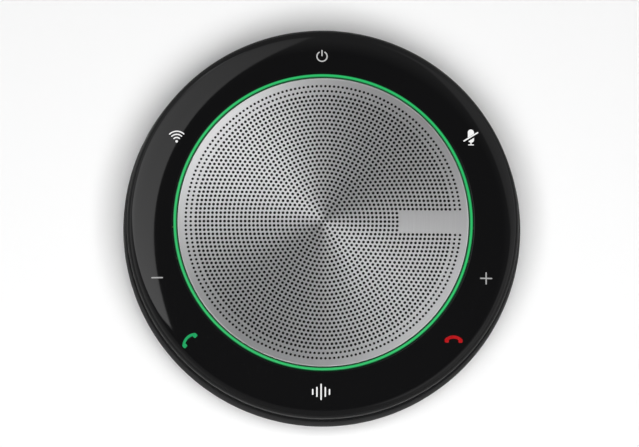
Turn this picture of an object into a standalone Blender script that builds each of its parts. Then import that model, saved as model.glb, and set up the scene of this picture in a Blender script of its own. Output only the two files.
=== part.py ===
"""Round conference speakerphone: a puck with a touch-key ring, a light ring and a loudspeaker grille.

Run with: blender --background --python part.py
Sizes are in millimetres and become metres through MM. +Z is up, the object stands on z = 0, its
middle is x = y = 0, its front (the assistant key) faces -Y and its USB-C socket faces +Y.
Stacked pieces are held GAP apart.
"""

import math

import bmesh
import bpy
from mathutils import Matrix, Vector

MM = 0.001
GAP = 0.2

# Driving dimensions: the outside of the puck
OUTER_R = 60.0
HEIGHT = 33.0
FASCIA_R = 58.9
RING_OUTER_R = 45.0
RING_INNER_R = 43.8
GRILLE_R = 43.6

# Top surface: the grille is a shallow dome, the fascia falls away from a level inner edge
GRILLE_RISE = 0.9
GRILLE_THICK = 0.8
GRILLE_RIM_Z = 30.4
FASCIA_TOP_Z = HEIGHT - GRILLE_RISE
FASCIA_THICK = 1.8
FASCIA_BEND_R = 50.0
FASCIA_CORNER_R = 3.0
FASCIA_FOOT_Z = 22.6

# Lower housing: a bowl whose whole side is one arc, widest at SIDE_MID_Z
WALL = 1.8
RIM_Z = 22.25
SIDE_MID_Z = 17.2
SIDE_BEND_R = 17.0
SIDE_CENTRE_R = OUTER_R - SIDE_BEND_R
FLOOR_R = 48.7
FLOOR_UNDER_Z = 1.3
FLOOR_TOP_Z = FLOOR_UNDER_Z + WALL
FOOT_INNER_R = 36.0
FOOT_OUTER_R = 41.0
FOOT_SEAT = 0.6
LABEL_R = 30.0
LABEL_SEAT = 0.3

# Upper frame: the loudspeaker's baffle, the rib under the grille and the shelf for the touch board
BAFFLE_Z = (22.7, 24.7)
BAFFLE_HOLE_R = 27.7
FRAME_R = 56.8
FRAME_SKIRT_Z = 20.9
FRAME_SHELF_Z = 26.2
FRAME_RIB_R = 42.4
FRAME_RIB_Z = 30.7
FRAME_WALL = 1.6

# Case screws: wells in the housing's floor, posts under the baffle
POST_R = 3.0
POST_CIRCLE_R = 45.0
POST_ANGLES = (45, 135, 225, 315)
POST_BOTTOM_Z = 5.9
WELL_MOUTH_R = 2.9
WELL_SEAT_Z = 3.5

# Touch board and the light guide under each key
TOUCH_BOARD_Z = (FRAME_SHELF_Z + GAP, FRAME_SHELF_Z + GAP + 1.0)
TOUCH_BOARD_R = (42.8, 56.2)
GUIDE_SIZE = (5.2, 6.4, 1.3)
GUIDE_CIRCLE_R = 52.2
KEY_ANGLES = {
    "power": 90.0,
    "wireless": 149.5,
    "mute": 30.5,
    "volume_down": 198.7,
    "volume_up": 341.3,
    "answer": 221.5,
    "end_call": 318.3,
    "assistant": 270.0,
}
FLEX_ANGLE = 290.0
FLEX_R = 48.6
FLEX_THICK = 0.3
FLEX_WIDTH = 8.0

# Loudspeaker
CHAMBER_R = 36.5
CHAMBER_LIP_R = 40.4
CHAMBER_WALL = 1.5
CHAMBER_UNDER_Z = 11.9
CHAMBER_FLOOR_Z = 13.3
CHAMBER_LIP_Z = (20.6, 22.0)
FLANGE_Z = (25.8, 27.0)
FLANGE_R = 33.6
FLANGE_INNER_R = 27.3
YOKE_R = 13.6
YOKE_Z = (13.6, 20.6)
YOKE_WALL = 2.0
MAGNET_R = 9.0
MAGNET_Z = (15.8, 18.4)
TOP_PLATE_R = 9.7
TOP_PLATE_Z = (18.6, 20.4)
COIL_R = 10.1
COIL_FORMER_Z = (17.6, 24.0)
COIL_WINDING_Z = (17.9, 21.1)
CONE_NECK_R = COIL_R + 0.45
CONE_NECK_Z = 23.4
CONE_EDGE_R = 22.6
CONE_EDGE_Z = 27.1
CONE_THICK = 0.45
DUST_CAP_R = 12.2
DUST_CAP_Z = 24.8
DUST_CAP_RISE = 3.3
SPIDER_R = 20.0
SPIDER_Z = 22.35
DRIVER_SCREW_CIRCLE_R = 31.7
DRIVER_SCREW_ANGLES = (20, 110, 200, 290)

# Boards, battery, socket and leads
MAIN_BOARD_R = 41.5
MAIN_BOARD_Z = (9.0, 10.0)
BOARD_SCREW_CIRCLE_R = 38.6
BOARD_SCREW_ANGLES = (20, 160, 250)
BATTERY_SIZE = (36.0, 56.0, 4.6)
USB_SIZE = (8.94, 7.35, 3.26)
USB_FRONT_Y = 56.2
USB_MID_Z = MAIN_BOARD_Z[1] + 0.15 + USB_SIZE[2] / 2
PORT_SIZE = (12.8, 7.0)
LEAD_R = 0.5
LEAD_SPREAD = 2.0
LEAD_HOLE_Z = 16.2

# Microphones
MIC_ANGLES = (0, 60, 120, 180, 240, 300)
MIC_Z = 16.5
MIC_HOLE_R = 0.7
MIC_BAND_R = 50.6

# Sides of a circle
LARGE = 40
MEDIUM = 24
SMALL = 10


# ---------------------------------------------------------------- helpers
def clear_scene():
    for obj in list(bpy.data.objects):
        bpy.data.objects.remove(obj, do_unlink=True)


def new_collection(name):
    made = bpy.data.collections.new(name)
    bpy.context.scene.collection.children.link(made)
    return made


def material(name, colour, roughness, metallic=0.0):
    made = bpy.data.materials.new(name)
    made.use_nodes = True
    shader = made.node_tree.nodes["Principled BSDF"]
    shader.inputs["Base Color"].default_value = (*colour, 1.0)
    shader.inputs["Roughness"].default_value = roughness
    shader.inputs["Metallic"].default_value = metallic
    return made


def arc(centre_r, centre_z, radius, start, end, steps):
    """Points on an arc in the (r, z) plane, angles in degrees from +r towards +z, both ends included."""
    found = []
    for i in range(steps + 1):
        angle = math.radians(start + (end - start) * i / steps)
        found.append((centre_r + radius * math.cos(angle), centre_z + radius * math.sin(angle)))
    return found


def rectangle(inner_r, outer_r, low, high):
    return [(inner_r, high), (outer_r, high), (outer_r, low), (inner_r, low)]


def polar(radius, angle, z=0.0):
    """A point in millimetres from a radius, an angle in degrees and a height."""
    turn = math.radians(angle)
    return Vector((radius * math.cos(turn), radius * math.sin(turn), z))


def around(radius, angles):
    return [polar(radius, angle) for angle in angles]


def clockwise(outline):
    area = 0.0
    for (r0, z0), (r1, z1) in zip(outline, outline[1:] + outline[:1]):
        area += r0 * z1 - r1 * z0
    return outline if area < 0 else outline[::-1]


def place(obj, name, surface, collection):
    """Names an object, gives it its material and puts it in its collection."""
    obj.name = name
    obj.data.name = name
    for owner in list(obj.users_collection):
        owner.objects.unlink(obj)
    collection.objects.link(obj)
    obj.data.materials.clear()
    if surface is not None:
        obj.data.materials.append(surface)
    return obj


def part(obj, name, surface):
    return place(obj, name, surface, parts)


def cutter(obj, name):
    place(obj, name, None, cutters)
    obj.hide_render = True
    obj.display_type = "WIRE"
    return obj


def linked(name, data):
    obj = bpy.data.objects.new(name, data)
    bpy.context.scene.collection.objects.link(obj)
    return obj


def turned(outline, sides=LARGE):
    """A solid of revolution about Z from a closed (r, z) outline. Points at r = 0 close on the axis."""
    outline = clockwise(outline)
    on_axis = [i for i, (r, _) in enumerate(outline) if r < 1e-6]
    if on_axis:
        # The run along the axis is left open, so the outline starts just after it.
        first = next(i for i in on_axis if (i + 1) % len(outline) not in on_axis)
        outline = outline[first:] + outline[:first]
    edges = [(i, i + 1) for i in range(len(outline) - 1)]
    if not on_axis:
        edges.append((len(outline) - 1, 0))
    mesh = bpy.data.meshes.new("outline")
    mesh.from_pydata([(r * MM, 0.0, z * MM) for r, z in outline], edges, [])
    obj = linked("outline", mesh)
    screw = obj.modifiers.new("turn", "SCREW")
    screw.axis = "Z"
    screw.steps = sides
    screw.render_steps = sides
    screw.use_merge_vertices = True
    screw.merge_threshold = 0.00001
    graph = bpy.context.evaluated_depsgraph_get()
    obj.data = bpy.data.meshes.new_from_object(obj.evaluated_get(graph))
    obj.modifiers.clear()
    bpy.data.meshes.remove(mesh)
    obj.data.shade_smooth()
    obj.data.set_sharp_from_angle(angle=math.radians(40))
    return obj


def block(size, middle, corner=0.0, angle=0.0):
    """A box from its size and middle, with its edges along Z rounded, turned about Z."""
    bpy.ops.mesh.primitive_cube_add(size=1.0)
    obj = bpy.context.object
    obj.data.transform(Matrix.Diagonal((*(s * MM for s in size), 1.0)))
    obj.location = Vector(middle) * MM
    obj.rotation_euler.z = math.radians(angle)
    if corner:
        weights = obj.data.attributes.new("bevel_weight_edge", "FLOAT", "EDGE")
        for edge in obj.data.edges:
            a, b = (obj.data.vertices[v].co for v in edge.vertices)
            weights.data[edge.index].value = 1.0 if abs(a.z - b.z) > 1e-7 else 0.0
        rounding = obj.modifiers.new("corners", "BEVEL")
        rounding.limit_method = "WEIGHT"
        rounding.width = corner * MM
        rounding.segments = 3
    return obj


def facing_back(obj):
    """Lays a block down, so that its height runs along Y."""
    obj.rotation_euler.x = math.radians(90)
    return obj


def cylinders(axes, radius, length, sides):
    """Closed cylinders in one object, one for each matrix from its own Z axis to its place."""
    mesh = bpy.data.meshes.new("cylinders")
    shape = bmesh.new()
    for axis in axes:
        bmesh.ops.create_cone(
            shape,
            cap_ends=True,
            segments=sides,
            radius1=radius * MM,
            radius2=radius * MM,
            depth=length * MM,
            matrix=axis,
        )
    shape.to_mesh(mesh)
    shape.free()
    return linked("cylinders", mesh)


def upright(places, radius, low, high, sides=SMALL):
    middle = (low + high) / 2
    axes = [Matrix.Translation(Vector((p.x, p.y, middle)) * MM) for p in places]
    return cylinders(axes, radius, high - low, sides)


def radial(angles, radius, low_r, high_r, z, sides=8):
    lie_down = Matrix.Rotation(math.radians(90), 4, "Y")
    axes = []
    for angle in angles:
        turn = Matrix.Rotation(math.radians(angle), 4, "Z")
        axes.append(Matrix.Translation(polar((low_r + high_r) / 2, angle, z) * MM) @ turn @ lie_down)
    return cylinders(axes, radius, high_r - low_r, sides)


def combine(target, other, name, operation):
    cutter(other, name)
    step = target.modifiers.new(name, "BOOLEAN")
    step.operation = operation
    step.solver = "EXACT"
    step.object = other


def cut(target, other, name):
    combine(target, other, name, "DIFFERENCE")


def join(target, other, name):
    combine(target, other, name, "UNION")


def smooth_route(stations, count):
    """Evenly counted points along a smooth curve through the stations (Catmull-Rom)."""
    ends = [stations[0] * 2 - stations[1], *stations, stations[-1] * 2 - stations[-2]]
    found = []
    for i in range(count):
        along = i * (len(stations) - 1) / (count - 1)
        k = min(int(along), len(stations) - 2)
        p0, p1, p2, p3 = ends[k : k + 4]
        t = along - k
        bend = (p2 - p0) * t + (2 * p0 - 5 * p1 + 4 * p2 - p3) * t**2 + (3 * p1 - p0 - 3 * p2 + p3) * t**3
        found.append(p1 + bend / 2)
    return found


def polyline(name, points, depth=0.0, extrude=0.0):
    """A curve object through points in millimetres: a round lead with a depth, or a ribbon with an extrude."""
    curve = bpy.data.curves.new(name, "CURVE")
    curve.dimensions = "3D"
    spline = curve.splines.new("POLY")
    spline.points.add(len(points) - 1)
    for point, where in zip(spline.points, points):
        point.co = (*(where * MM), 1.0)
    curve.bevel_depth = depth * MM
    curve.bevel_resolution = 2
    curve.use_fill_caps = True
    curve.extrude = extrude * MM
    return linked(name, curve)


# ---------------------------------------------------------------- outer shells
def grille_z(radius):
    """Height of the grille's domed top at a radius."""
    return HEIGHT - GRILLE_RISE * (radius / GRILLE_R) ** 2


def make_fascia():
    """Gloss ring with the touch keys: level at the light ring, then over a tight corner to a skirt."""
    inner_r = RING_OUTER_R + GAP
    lip_r = inner_r + 1.0
    lip_z = TOUCH_BOARD_Z[1] + 1.0
    corner_r = FASCIA_R - FASCIA_CORNER_R
    slope = math.degrees(math.asin((corner_r - inner_r) / (FASCIA_BEND_R - FASCIA_CORNER_R)))
    bend_z = FASCIA_TOP_Z - FASCIA_BEND_R
    corner_z = bend_z + (FASCIA_BEND_R - FASCIA_CORNER_R) * math.cos(math.radians(slope))
    outline = arc(inner_r, bend_z, FASCIA_BEND_R, 90, 90 - slope, 3)
    outline += arc(corner_r, corner_z, FASCIA_CORNER_R, 90 - slope, 0, 4)[1:]
    outline += [(FASCIA_R, FASCIA_FOOT_Z), (FASCIA_R - FASCIA_THICK, FASCIA_FOOT_Z)]
    outline += arc(corner_r, corner_z, FASCIA_CORNER_R - FASCIA_THICK, 0, 90 - slope, 2)
    outline += [(lip_r, FASCIA_TOP_Z - FASCIA_THICK), (lip_r, lip_z), (inner_r, lip_z)]
    part(turned(outline), "fascia", gloss_black)


def make_light_ring():
    """Diffuser between the grille and the fascia, lit from the touch board below."""
    top = FASCIA_TOP_Z + 0.1
    low = TOUCH_BOARD_Z[1] + 0.9
    outline = [(RING_INNER_R, top - 0.3), (RING_INNER_R + 0.3, top), (RING_OUTER_R, top)]
    outline += [(RING_OUTER_R, low), (RING_INNER_R, low)]
    part(turned(outline), "light_ring", diffuser_green)


def make_grille():
    """Domed plate with a turned-down rim, and the acoustic cloth glued under it."""
    inner_r = GRILLE_R - GRILLE_THICK
    outline = [(r, grille_z(r)) for r in (0.0, 10.9, 21.8, 32.7, GRILLE_R)]
    outline += [(GRILLE_R, GRILLE_RIM_Z), (inner_r, GRILLE_RIM_Z)]
    outline += [(r, grille_z(r) - GRILLE_THICK) for r in (inner_r, 30.0, 15.0, 0.0)]
    part(turned(outline), "grille", aluminium)
    top = GRILLE_THICK + 0.15
    radii = (0.0, 14.0, 28.0, 42.2)
    cloth = [(r, grille_z(r) - top) for r in radii]
    cloth += [(r, grille_z(r) - top - 0.25) for r in reversed(radii)]
    part(turned(cloth, MEDIUM), "grille_cloth", cloth_black)


def side_arc(inset, low_z, steps):
    """The side's curve from the rim down to a height, moved inwards by an inset."""
    bend = SIDE_BEND_R - inset
    start = math.degrees(math.asin((RIM_Z - SIDE_MID_Z) / bend))
    end = math.degrees(math.asin((low_z - SIDE_MID_Z) / bend))
    return arc(SIDE_CENTRE_R, SIDE_MID_Z, bend, start, end, steps)


def make_lower_housing():
    """Bowl with a floor, screw wells, board stands, microphone holes and the socket's opening."""
    seat_z = FLOOR_UNDER_Z + FOOT_SEAT
    label_z = FLOOR_UNDER_Z + LABEL_SEAT
    outline = side_arc(0.0, FLOOR_UNDER_Z + 0.9, 9)
    outline += [(FLOOR_R + 0.9, FLOOR_UNDER_Z + 0.3), (FLOOR_R, FLOOR_UNDER_Z)]
    outline += [(FOOT_OUTER_R + GAP, FLOOR_UNDER_Z), (FOOT_OUTER_R + GAP, seat_z)]
    outline += [(FOOT_INNER_R - GAP, seat_z), (FOOT_INNER_R - GAP, FLOOR_UNDER_Z)]
    outline += [(LABEL_R + 0.3, FLOOR_UNDER_Z), (LABEL_R + 0.3, label_z), (0, label_z), (0, FLOOR_TOP_Z)]
    outline += side_arc(WALL, FLOOR_TOP_Z, 5)[::-1]
    housing = part(turned(outline), "lower_housing", satin_black)
    wells = around(POST_CIRCLE_R, POST_ANGLES)
    stands = around(BOARD_SCREW_CIRCLE_R, BOARD_SCREW_ANGLES)
    root_z = FLOOR_TOP_Z - 0.7
    join(housing, upright(wells, 4.2, root_z, POST_BOTTOM_Z - 0.3), "well_bosses")
    join(housing, upright(stands, 2.2, root_z, MAIN_BOARD_Z[0] - GAP), "board_stands")
    cut(housing, upright(wells, WELL_MOUTH_R, -1.0, WELL_SEAT_Z, 14), "well_mouths")
    cut(housing, upright(wells, 1.7, WELL_SEAT_Z - 0.5, POST_BOTTOM_Z + 2.0), "well_holes")
    cut(housing, upright(stands, 1.2, 4.8, MAIN_BOARD_Z[1], 8), "stand_holes")
    width, height = PORT_SIZE
    port = block((width, height, 12.0), (0, 58.5, USB_MID_Z), corner=2.4)
    cut(housing, facing_back(port), "port_opening")
    cut(housing, radial(MIC_ANGLES, MIC_HOLE_R, 55.0, 63.0, MIC_Z), "mic_holes")


def make_underside():
    """Non-slip ring and the blank label, each in its shallow seat."""
    top = FLOOR_UNDER_Z + FOOT_SEAT - GAP
    outline = [(FOOT_INNER_R + 0.5, 0), (FOOT_OUTER_R - 0.5, 0), (FOOT_OUTER_R, 0.5)]
    outline += [(FOOT_OUTER_R, top), (FOOT_INNER_R, top), (FOOT_INNER_R, 0.5)]
    part(turned(outline), "rubber_foot", rubber)
    low = FLOOR_UNDER_Z - 0.1
    part(turned(rectangle(0, LABEL_R, low, low + 0.2), MEDIUM), "rating_label", label_grey)


# ---------------------------------------------------------------- frame and touch keys
def make_upper_frame():
    """Baffle with a rim that backs the case's seam, a rib under the grille and four screw posts."""
    low, high = BAFFLE_Z
    rim_r = FRAME_R - FRAME_WALL
    shelf_r = FRAME_RIB_R + FRAME_WALL
    outline = [(BAFFLE_HOLE_R, low), (rim_r, low), (rim_r, FRAME_SKIRT_Z), (FRAME_R, FRAME_SKIRT_Z)]
    outline += [(FRAME_R, FRAME_SHELF_Z), (rim_r, FRAME_SHELF_Z), (rim_r, high), (shelf_r, high)]
    outline += [(shelf_r, FRAME_SHELF_Z), (FRAME_RIB_R, FRAME_SHELF_Z), (FRAME_RIB_R, FRAME_RIB_Z)]
    outline += [(FRAME_RIB_R - FRAME_WALL, FRAME_RIB_Z), (FRAME_RIB_R - FRAME_WALL, high)]
    outline += [(BAFFLE_HOLE_R, high)]
    frame = part(turned(outline), "upper_frame", matte_black)
    posts = around(POST_CIRCLE_R, POST_ANGLES)
    screws = around(DRIVER_SCREW_CIRCLE_R, DRIVER_SCREW_ANGLES)
    join(frame, upright(posts, POST_R, POST_BOTTOM_Z, low + 1.0), "posts")
    cut(frame, upright(posts, 1.7, POST_BOTTOM_Z - 2.0, POST_BOTTOM_Z + 8.0, 8), "post_holes")
    cut(frame, upright(screws, 1.2, low - 2.0, high + 2.0, 8), "driver_screw_holes")
    middle = polar(FLEX_R, FLEX_ANGLE, (low + high) / 2)
    cut(frame, block((1.6, FLEX_WIDTH + 1.0, 6.0), middle, angle=FLEX_ANGLE), "flex_slot")


def make_touch_keys():
    """Ring board with the touch pads, and one clear light guide under each key's icon."""
    part(turned(rectangle(*TOUCH_BOARD_R, *TOUCH_BOARD_Z)), "touch_board", board_black)
    middle_z = TOUCH_BOARD_Z[1] + 0.3 + GUIDE_SIZE[2] / 2
    for key, angle in KEY_ANGLES.items():
        guide = block(GUIDE_SIZE, polar(GUIDE_CIRCLE_R, angle, middle_z), corner=0.8, angle=angle)
        part(guide, f"light_guide_{key}", clear_plastic)


def make_touch_flex():
    """Flat cable from the touch board through the baffle's slot to the main board."""
    board_z = MAIN_BOARD_Z[1] + 0.4 + FLEX_THICK / 2
    stations = [(FLEX_R, TOUCH_BOARD_Z[0] - 0.2), (FLEX_R, board_z + 2.4), (FLEX_R - 2.4, board_z)]
    stations += [(BOARD_SCREW_CIRCLE_R, board_z)]
    flex = polyline("touch_flex", [Vector((r, z, 0.0)) for r, z in stations], extrude=FLEX_WIDTH / 2)
    flex.rotation_euler = (math.radians(90), 0.0, math.radians(FLEX_ANGLE))
    thickness = flex.modifiers.new("thickness", "SOLIDIFY")
    thickness.thickness = FLEX_THICK * MM
    thickness.offset = 0.0
    part(flex, "touch_flex", amber_film)


# ---------------------------------------------------------------- loudspeaker
def make_chamber():
    """Sealed cup behind the loudspeaker, closed by the baffle with a gasket between them."""
    inner_r = CHAMBER_R - CHAMBER_WALL
    lip_low, lip_high = CHAMBER_LIP_Z
    outline = [(0, CHAMBER_UNDER_Z), (CHAMBER_R, CHAMBER_UNDER_Z), (CHAMBER_R, lip_low)]
    outline += [(CHAMBER_LIP_R, lip_low), (CHAMBER_LIP_R, lip_high), (inner_r, lip_high)]
    outline += [(inner_r, CHAMBER_FLOOR_Z), (0, CHAMBER_FLOOR_Z)]
    chamber = part(turned(outline), "speaker_chamber", matte_black)
    angles = (-LEAD_SPREAD, LEAD_SPREAD)
    cut(chamber, radial(angles, 0.8, inner_r - 2.0, CHAMBER_R + 2.0, LEAD_HOLE_Z), "lead_holes")
    gasket = rectangle(inner_r, CHAMBER_LIP_R - 0.2, lip_high + 0.15, BAFFLE_Z[0] - 0.15)
    part(turned(gasket, MEDIUM), "chamber_gasket", foam_grey)


def make_basket():
    """Pressed basket with four windows, and the foam ring that seals its flange to the baffle."""
    low, high = FLANGE_Z
    seat_r = YOKE_R + GAP
    shelf_z = SPIDER_Z - 0.15
    outline = [(FLANGE_INNER_R, high), (FLANGE_R, high), (FLANGE_R, low), (FLANGE_INNER_R, low)]
    outline += [(20.8, shelf_z - 0.8), (17.4, shelf_z - 0.8), (17.4, YOKE_Z[1] - 1.8)]
    outline += [(seat_r, YOKE_Z[1] - 1.8), (seat_r, YOKE_Z[1] - 0.6), (16.2, YOKE_Z[1] - 0.6)]
    outline += [(16.2, shelf_z), (SPIDER_R + 0.2, shelf_z)]
    basket = part(turned(outline, MEDIUM), "driver_basket", steel_black)
    for i, angle in enumerate((45, 135, 225, 315)):
        window = block((6.0, 14.0, 3.6), polar(24.4, angle, 23.9), angle=angle)
        cut(basket, window, f"basket_window_{i + 1}")
    screws = around(DRIVER_SCREW_CIRCLE_R, DRIVER_SCREW_ANGLES)
    cut(basket, upright(screws, 1.2, low - 1.0, high + 1.0, 8), "flange_holes")
    gasket = rectangle(BAFFLE_HOLE_R + 0.2, 30.3, BAFFLE_Z[1] + GAP, low - GAP)
    part(turned(gasket, MEDIUM), "driver_gasket", foam_grey)


def make_motor():
    """Steel cup, neodymium disc and pole plate."""
    low, high = YOKE_Z
    bore_r = YOKE_R - YOKE_WALL
    cup = [(0, low), (YOKE_R, low), (YOKE_R, high), (bore_r, high), (bore_r, low + YOKE_WALL)]
    cup += [(0, low + YOKE_WALL)]
    part(turned(cup, MEDIUM), "motor_yoke", plated_steel)
    part(turned(rectangle(0, MAGNET_R, *MAGNET_Z), MEDIUM), "motor_magnet", nickel)
    part(turned(rectangle(0, TOP_PLATE_R, *TOP_PLATE_Z), MEDIUM), "motor_top_plate", plated_steel)


def dome(radius, rise, angles):
    return [(radius * math.sin(math.radians(a)), DUST_CAP_Z + rise * math.cos(math.radians(a))) for a in angles]


def make_moving_parts():
    """Cone, dust cap, voice coil and its former, which travel together along Z."""
    former_r = COIL_R + 0.3
    neck_low = CONE_NECK_Z - 0.5
    cone = [(CONE_NECK_R, CONE_NECK_Z), (CONE_EDGE_R - 1.8, CONE_EDGE_Z), (CONE_EDGE_R, CONE_EDGE_Z)]
    cone += [(CONE_EDGE_R, CONE_EDGE_Z - CONE_THICK), (CONE_EDGE_R - 1.6, CONE_EDGE_Z - CONE_THICK)]
    cone += [(CONE_NECK_R, neck_low)]
    cap = dome(DUST_CAP_R, DUST_CAP_RISE, (0, 22.5, 45, 67.5, 90))
    cap += dome(DUST_CAP_R - CONE_THICK, DUST_CAP_RISE - CONE_THICK, (90, 60, 30, 0))
    made = [
        part(turned(rectangle(COIL_R, former_r, *COIL_FORMER_Z), MEDIUM), "voice_coil_former", amber_film),
        part(turned(rectangle(former_r + 0.1, former_r + 0.7, *COIL_WINDING_Z), MEDIUM),
             "voice_coil_winding", copper),
        part(turned(cone, MEDIUM), "driver_cone", paper_black),
        part(turned(cap, MEDIUM), "driver_dust_cap", paper_black),
    ]
    axis = bpy.data.objects.new("cone_axis", None)
    parts.objects.link(axis)
    for piece in made:
        piece.parent = axis


def make_suspension():
    """Half-roll surround at the cone's edge and corrugated spider at its neck. Both flex."""
    sheet = 0.45
    low = CONE_EDGE_Z + 0.15
    land = FLANGE_Z[1] + 0.15
    middle = (CONE_EDGE_R + FLANGE_INNER_R) / 2 + 0.35
    roll = (FLANGE_INNER_R - CONE_EDGE_R) / 2
    inner_r = CONE_EDGE_R - 1.7
    surround = [(inner_r, low + sheet)] + arc(middle, low + sheet, roll + sheet, 180, 0, 6)
    surround += [(29.6, land + sheet), (29.6, land)]
    surround += arc(middle, low, roll, 0, 180, 6) + [(inner_r, low)]
    part(turned(surround, MEDIUM), "driver_surround", rubber)
    land_r = SPIDER_R - 1.6
    crests = (0.0, 0.0, 0.45, 0.0, 0.45, 0.0, 0.0)
    radii = [CONE_NECK_R + (land_r - CONE_NECK_R) * i / 6 for i in range(7)] + [SPIDER_R]
    under = [(r, SPIDER_Z + crest) for r, crest in zip(radii, (*crests, 0.0))]
    over = [(r, z + 0.3) for r, z in under]
    part(turned(over + under[::-1], MEDIUM), "driver_spider", cloth_amber)


# ---------------------------------------------------------------- boards, battery and leads
def make_main_board():
    """Round board with a tab for the socket, and the shields over its two large chips."""
    low, high = MAIN_BOARD_Z
    board = part(turned(rectangle(0, MAIN_BOARD_R, low, high)), "main_board", board_green)
    join(board, block((18.0, 21.0, high - low), (0, 43.5, (low + high) / 2)), "socket_tab")
    screws = around(BOARD_SCREW_CIRCLE_R, BOARD_SCREW_ANGLES)
    cut(board, upright(screws, 1.2, low - 1.0, high + 1.0, 8), "board_screw_holes")
    seat = high + 0.15
    part(block((17.0, 17.0, 1.4), (-13.0, 8.0, seat + 0.7), corner=0.8), "processor_shield", tin)
    part(block((13.0, 10.0, 1.3), (15.0, 20.0, seat + 0.65), corner=0.8), "radio_shield", tin)


def make_usb_socket():
    """Receptacle: an oval metal shell with a tongue in its mouth."""
    width, depth, height = USB_SIZE
    shell = facing_back(block((width, height, depth), (0, USB_FRONT_Y - depth / 2, USB_MID_Z), corner=1.2))
    part(shell, "usb_c_receptacle", plated_steel)
    mouth = block((8.34, 2.56, 6.2), (0, USB_FRONT_Y - 2.6, USB_MID_Z), corner=1.1)
    cut(shell, facing_back(mouth), "socket_mouth")
    join(shell, block((6.6, 5.4, 0.7), (0, USB_FRONT_Y - 3.4, USB_MID_Z)), "socket_tongue")


def make_battery():
    """Pouch pack on the floor, and its connector and two leads under the board."""
    width, depth, thick = BATTERY_SIZE
    middle_z = FLOOR_TOP_Z + GAP + thick / 2
    part(block((width, depth, thick), (0, 0, middle_z), corner=1.5), "battery_pack", pouch_silver)
    connector_y = -36.8
    connector_z = MAIN_BOARD_Z[0] - 0.15 - 1.1
    part(block((6.0, 3.6, 2.2), (0, connector_y, connector_z)), "battery_connector", ivory)
    pack_y = -depth / 2 - 0.3
    for x, colour, surface in ((-1.2, "red", wire_red), (1.2, "black", wire_black)):
        stations = [(pack_y, middle_z), (pack_y - 1.7, middle_z), (pack_y - 3.7, middle_z + 0.8)]
        stations += [(pack_y - 5.1, connector_z), (connector_y + 2.1, connector_z)]
        route = smooth_route([Vector((x, y, z)) for y, z in stations], 9)
        part(polyline("lead", route, depth=LEAD_R), f"battery_lead_{colour}", surface)


def make_speaker_leads():
    """Two leads from the basket through the chamber's wall to the main board."""
    stations = [(22.6, 20.6), (27.0, 17.8), (31.5, LEAD_HOLE_Z), (CHAMBER_R - 0.5, LEAD_HOLE_Z)]
    stations += [(38.4, 15.2), (39.2, 12.6), (39.2, MAIN_BOARD_Z[1] + 0.3)]
    for angle, colour, surface in ((-LEAD_SPREAD, "red", wire_red), (LEAD_SPREAD, "black", wire_black)):
        route = smooth_route([polar(r, angle, z) for r, z in stations], 13)
        part(polyline("lead", route, depth=LEAD_R), f"speaker_lead_{colour}", surface)


# ---------------------------------------------------------------- microphones
def make_microphones():
    """Six microphones on a flexible band, each behind its hole, and one rubber gasket for them all."""
    band = rectangle(MIC_BAND_R, MIC_BAND_R + 0.3, MIC_Z - 2.2, MIC_Z + 2.2)
    flex = part(turned(band), "microphone_flex", amber_film)
    cut(flex, block((26.0, 30.0, 20.0), (0, 52.0, MIC_Z)), "flex_gap")
    for i, angle in enumerate(MIC_ANGLES):
        middle = polar(MIC_BAND_R + 1.1, angle, MIC_Z)
        part(block((1.1, 3.8, 3.0), middle, angle=angle), f"microphone_{i + 1}", brass)
    hoop = rectangle(55.0, 56.2, MIC_Z + 0.9, MIC_Z + 2.1)
    gasket = part(turned(hoop), "microphone_gasket", rubber)
    for i, angle in enumerate(MIC_ANGLES):
        join(gasket, block((4.6, 5.6, 4.6), polar(54.9, angle, MIC_Z), angle=angle), f"boot_{i + 1}")
    cut(gasket, radial(MIC_ANGLES, 0.6, 51.0, 59.0, MIC_Z), "boot_holes")


# ---------------------------------------------------------------- screws
def make_screws(name, angles, circle_r, seat_z, head_r, head, shank_r, shank):
    """Pan-head screws on a circle. A negative head and shank turn the screw upside down."""
    outline = [(0, head), (head_r * 0.8, head), (head_r, head * 0.6), (head_r, 0), (shank_r, 0)]
    outline += [(shank_r, -shank), (0, -shank)]
    for i, angle in enumerate(angles):
        screw = part(turned(outline, SMALL), f"{name}_{i + 1}", screw_steel)
        screw.location = polar(circle_r, angle, seat_z) * MM


clear_scene()
parts = new_collection("conference_speakerphone")
cutters = new_collection("cutters")

gloss_black = material("gloss_black", (0.008, 0.008, 0.009), 0.08)
satin_black = material("satin_black", (0.02, 0.02, 0.021), 0.4)
matte_black = material("matte_black", (0.03, 0.03, 0.03), 0.6)
steel_black = material("steel_black", (0.03, 0.03, 0.03), 0.4, 0.8)
paper_black = material("paper_black", (0.03, 0.03, 0.03), 0.9)
cloth_black = material("cloth_black", (0.01, 0.01, 0.01), 0.95)
cloth_amber = material("cloth_amber", (0.45, 0.22, 0.05), 0.9)
diffuser_green = material("diffuser_green", (0.03, 0.65, 0.22), 0.35)
clear_plastic = material("clear_plastic", (0.8, 0.82, 0.82), 0.2)
aluminium = material("aluminium", (0.6, 0.6, 0.61), 0.3, 1.0)
plated_steel = material("plated_steel", (0.6, 0.6, 0.6), 0.3, 1.0)
screw_steel = material("screw_steel", (0.15, 0.15, 0.16), 0.35, 1.0)
nickel = material("nickel", (0.7, 0.68, 0.64), 0.2, 1.0)
tin = material("tin", (0.65, 0.65, 0.66), 0.35, 1.0)
brass = material("brass", (0.75, 0.6, 0.3), 0.3, 1.0)
copper = material("copper", (0.8, 0.35, 0.18), 0.3, 1.0)
amber_film = material("amber_film", (0.55, 0.25, 0.04), 0.35)
board_green = material("board_green", (0.02, 0.16, 0.07), 0.4)
board_black = material("board_black", (0.015, 0.02, 0.02), 0.45)
pouch_silver = material("pouch_silver", (0.55, 0.56, 0.58), 0.4, 0.6)
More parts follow.
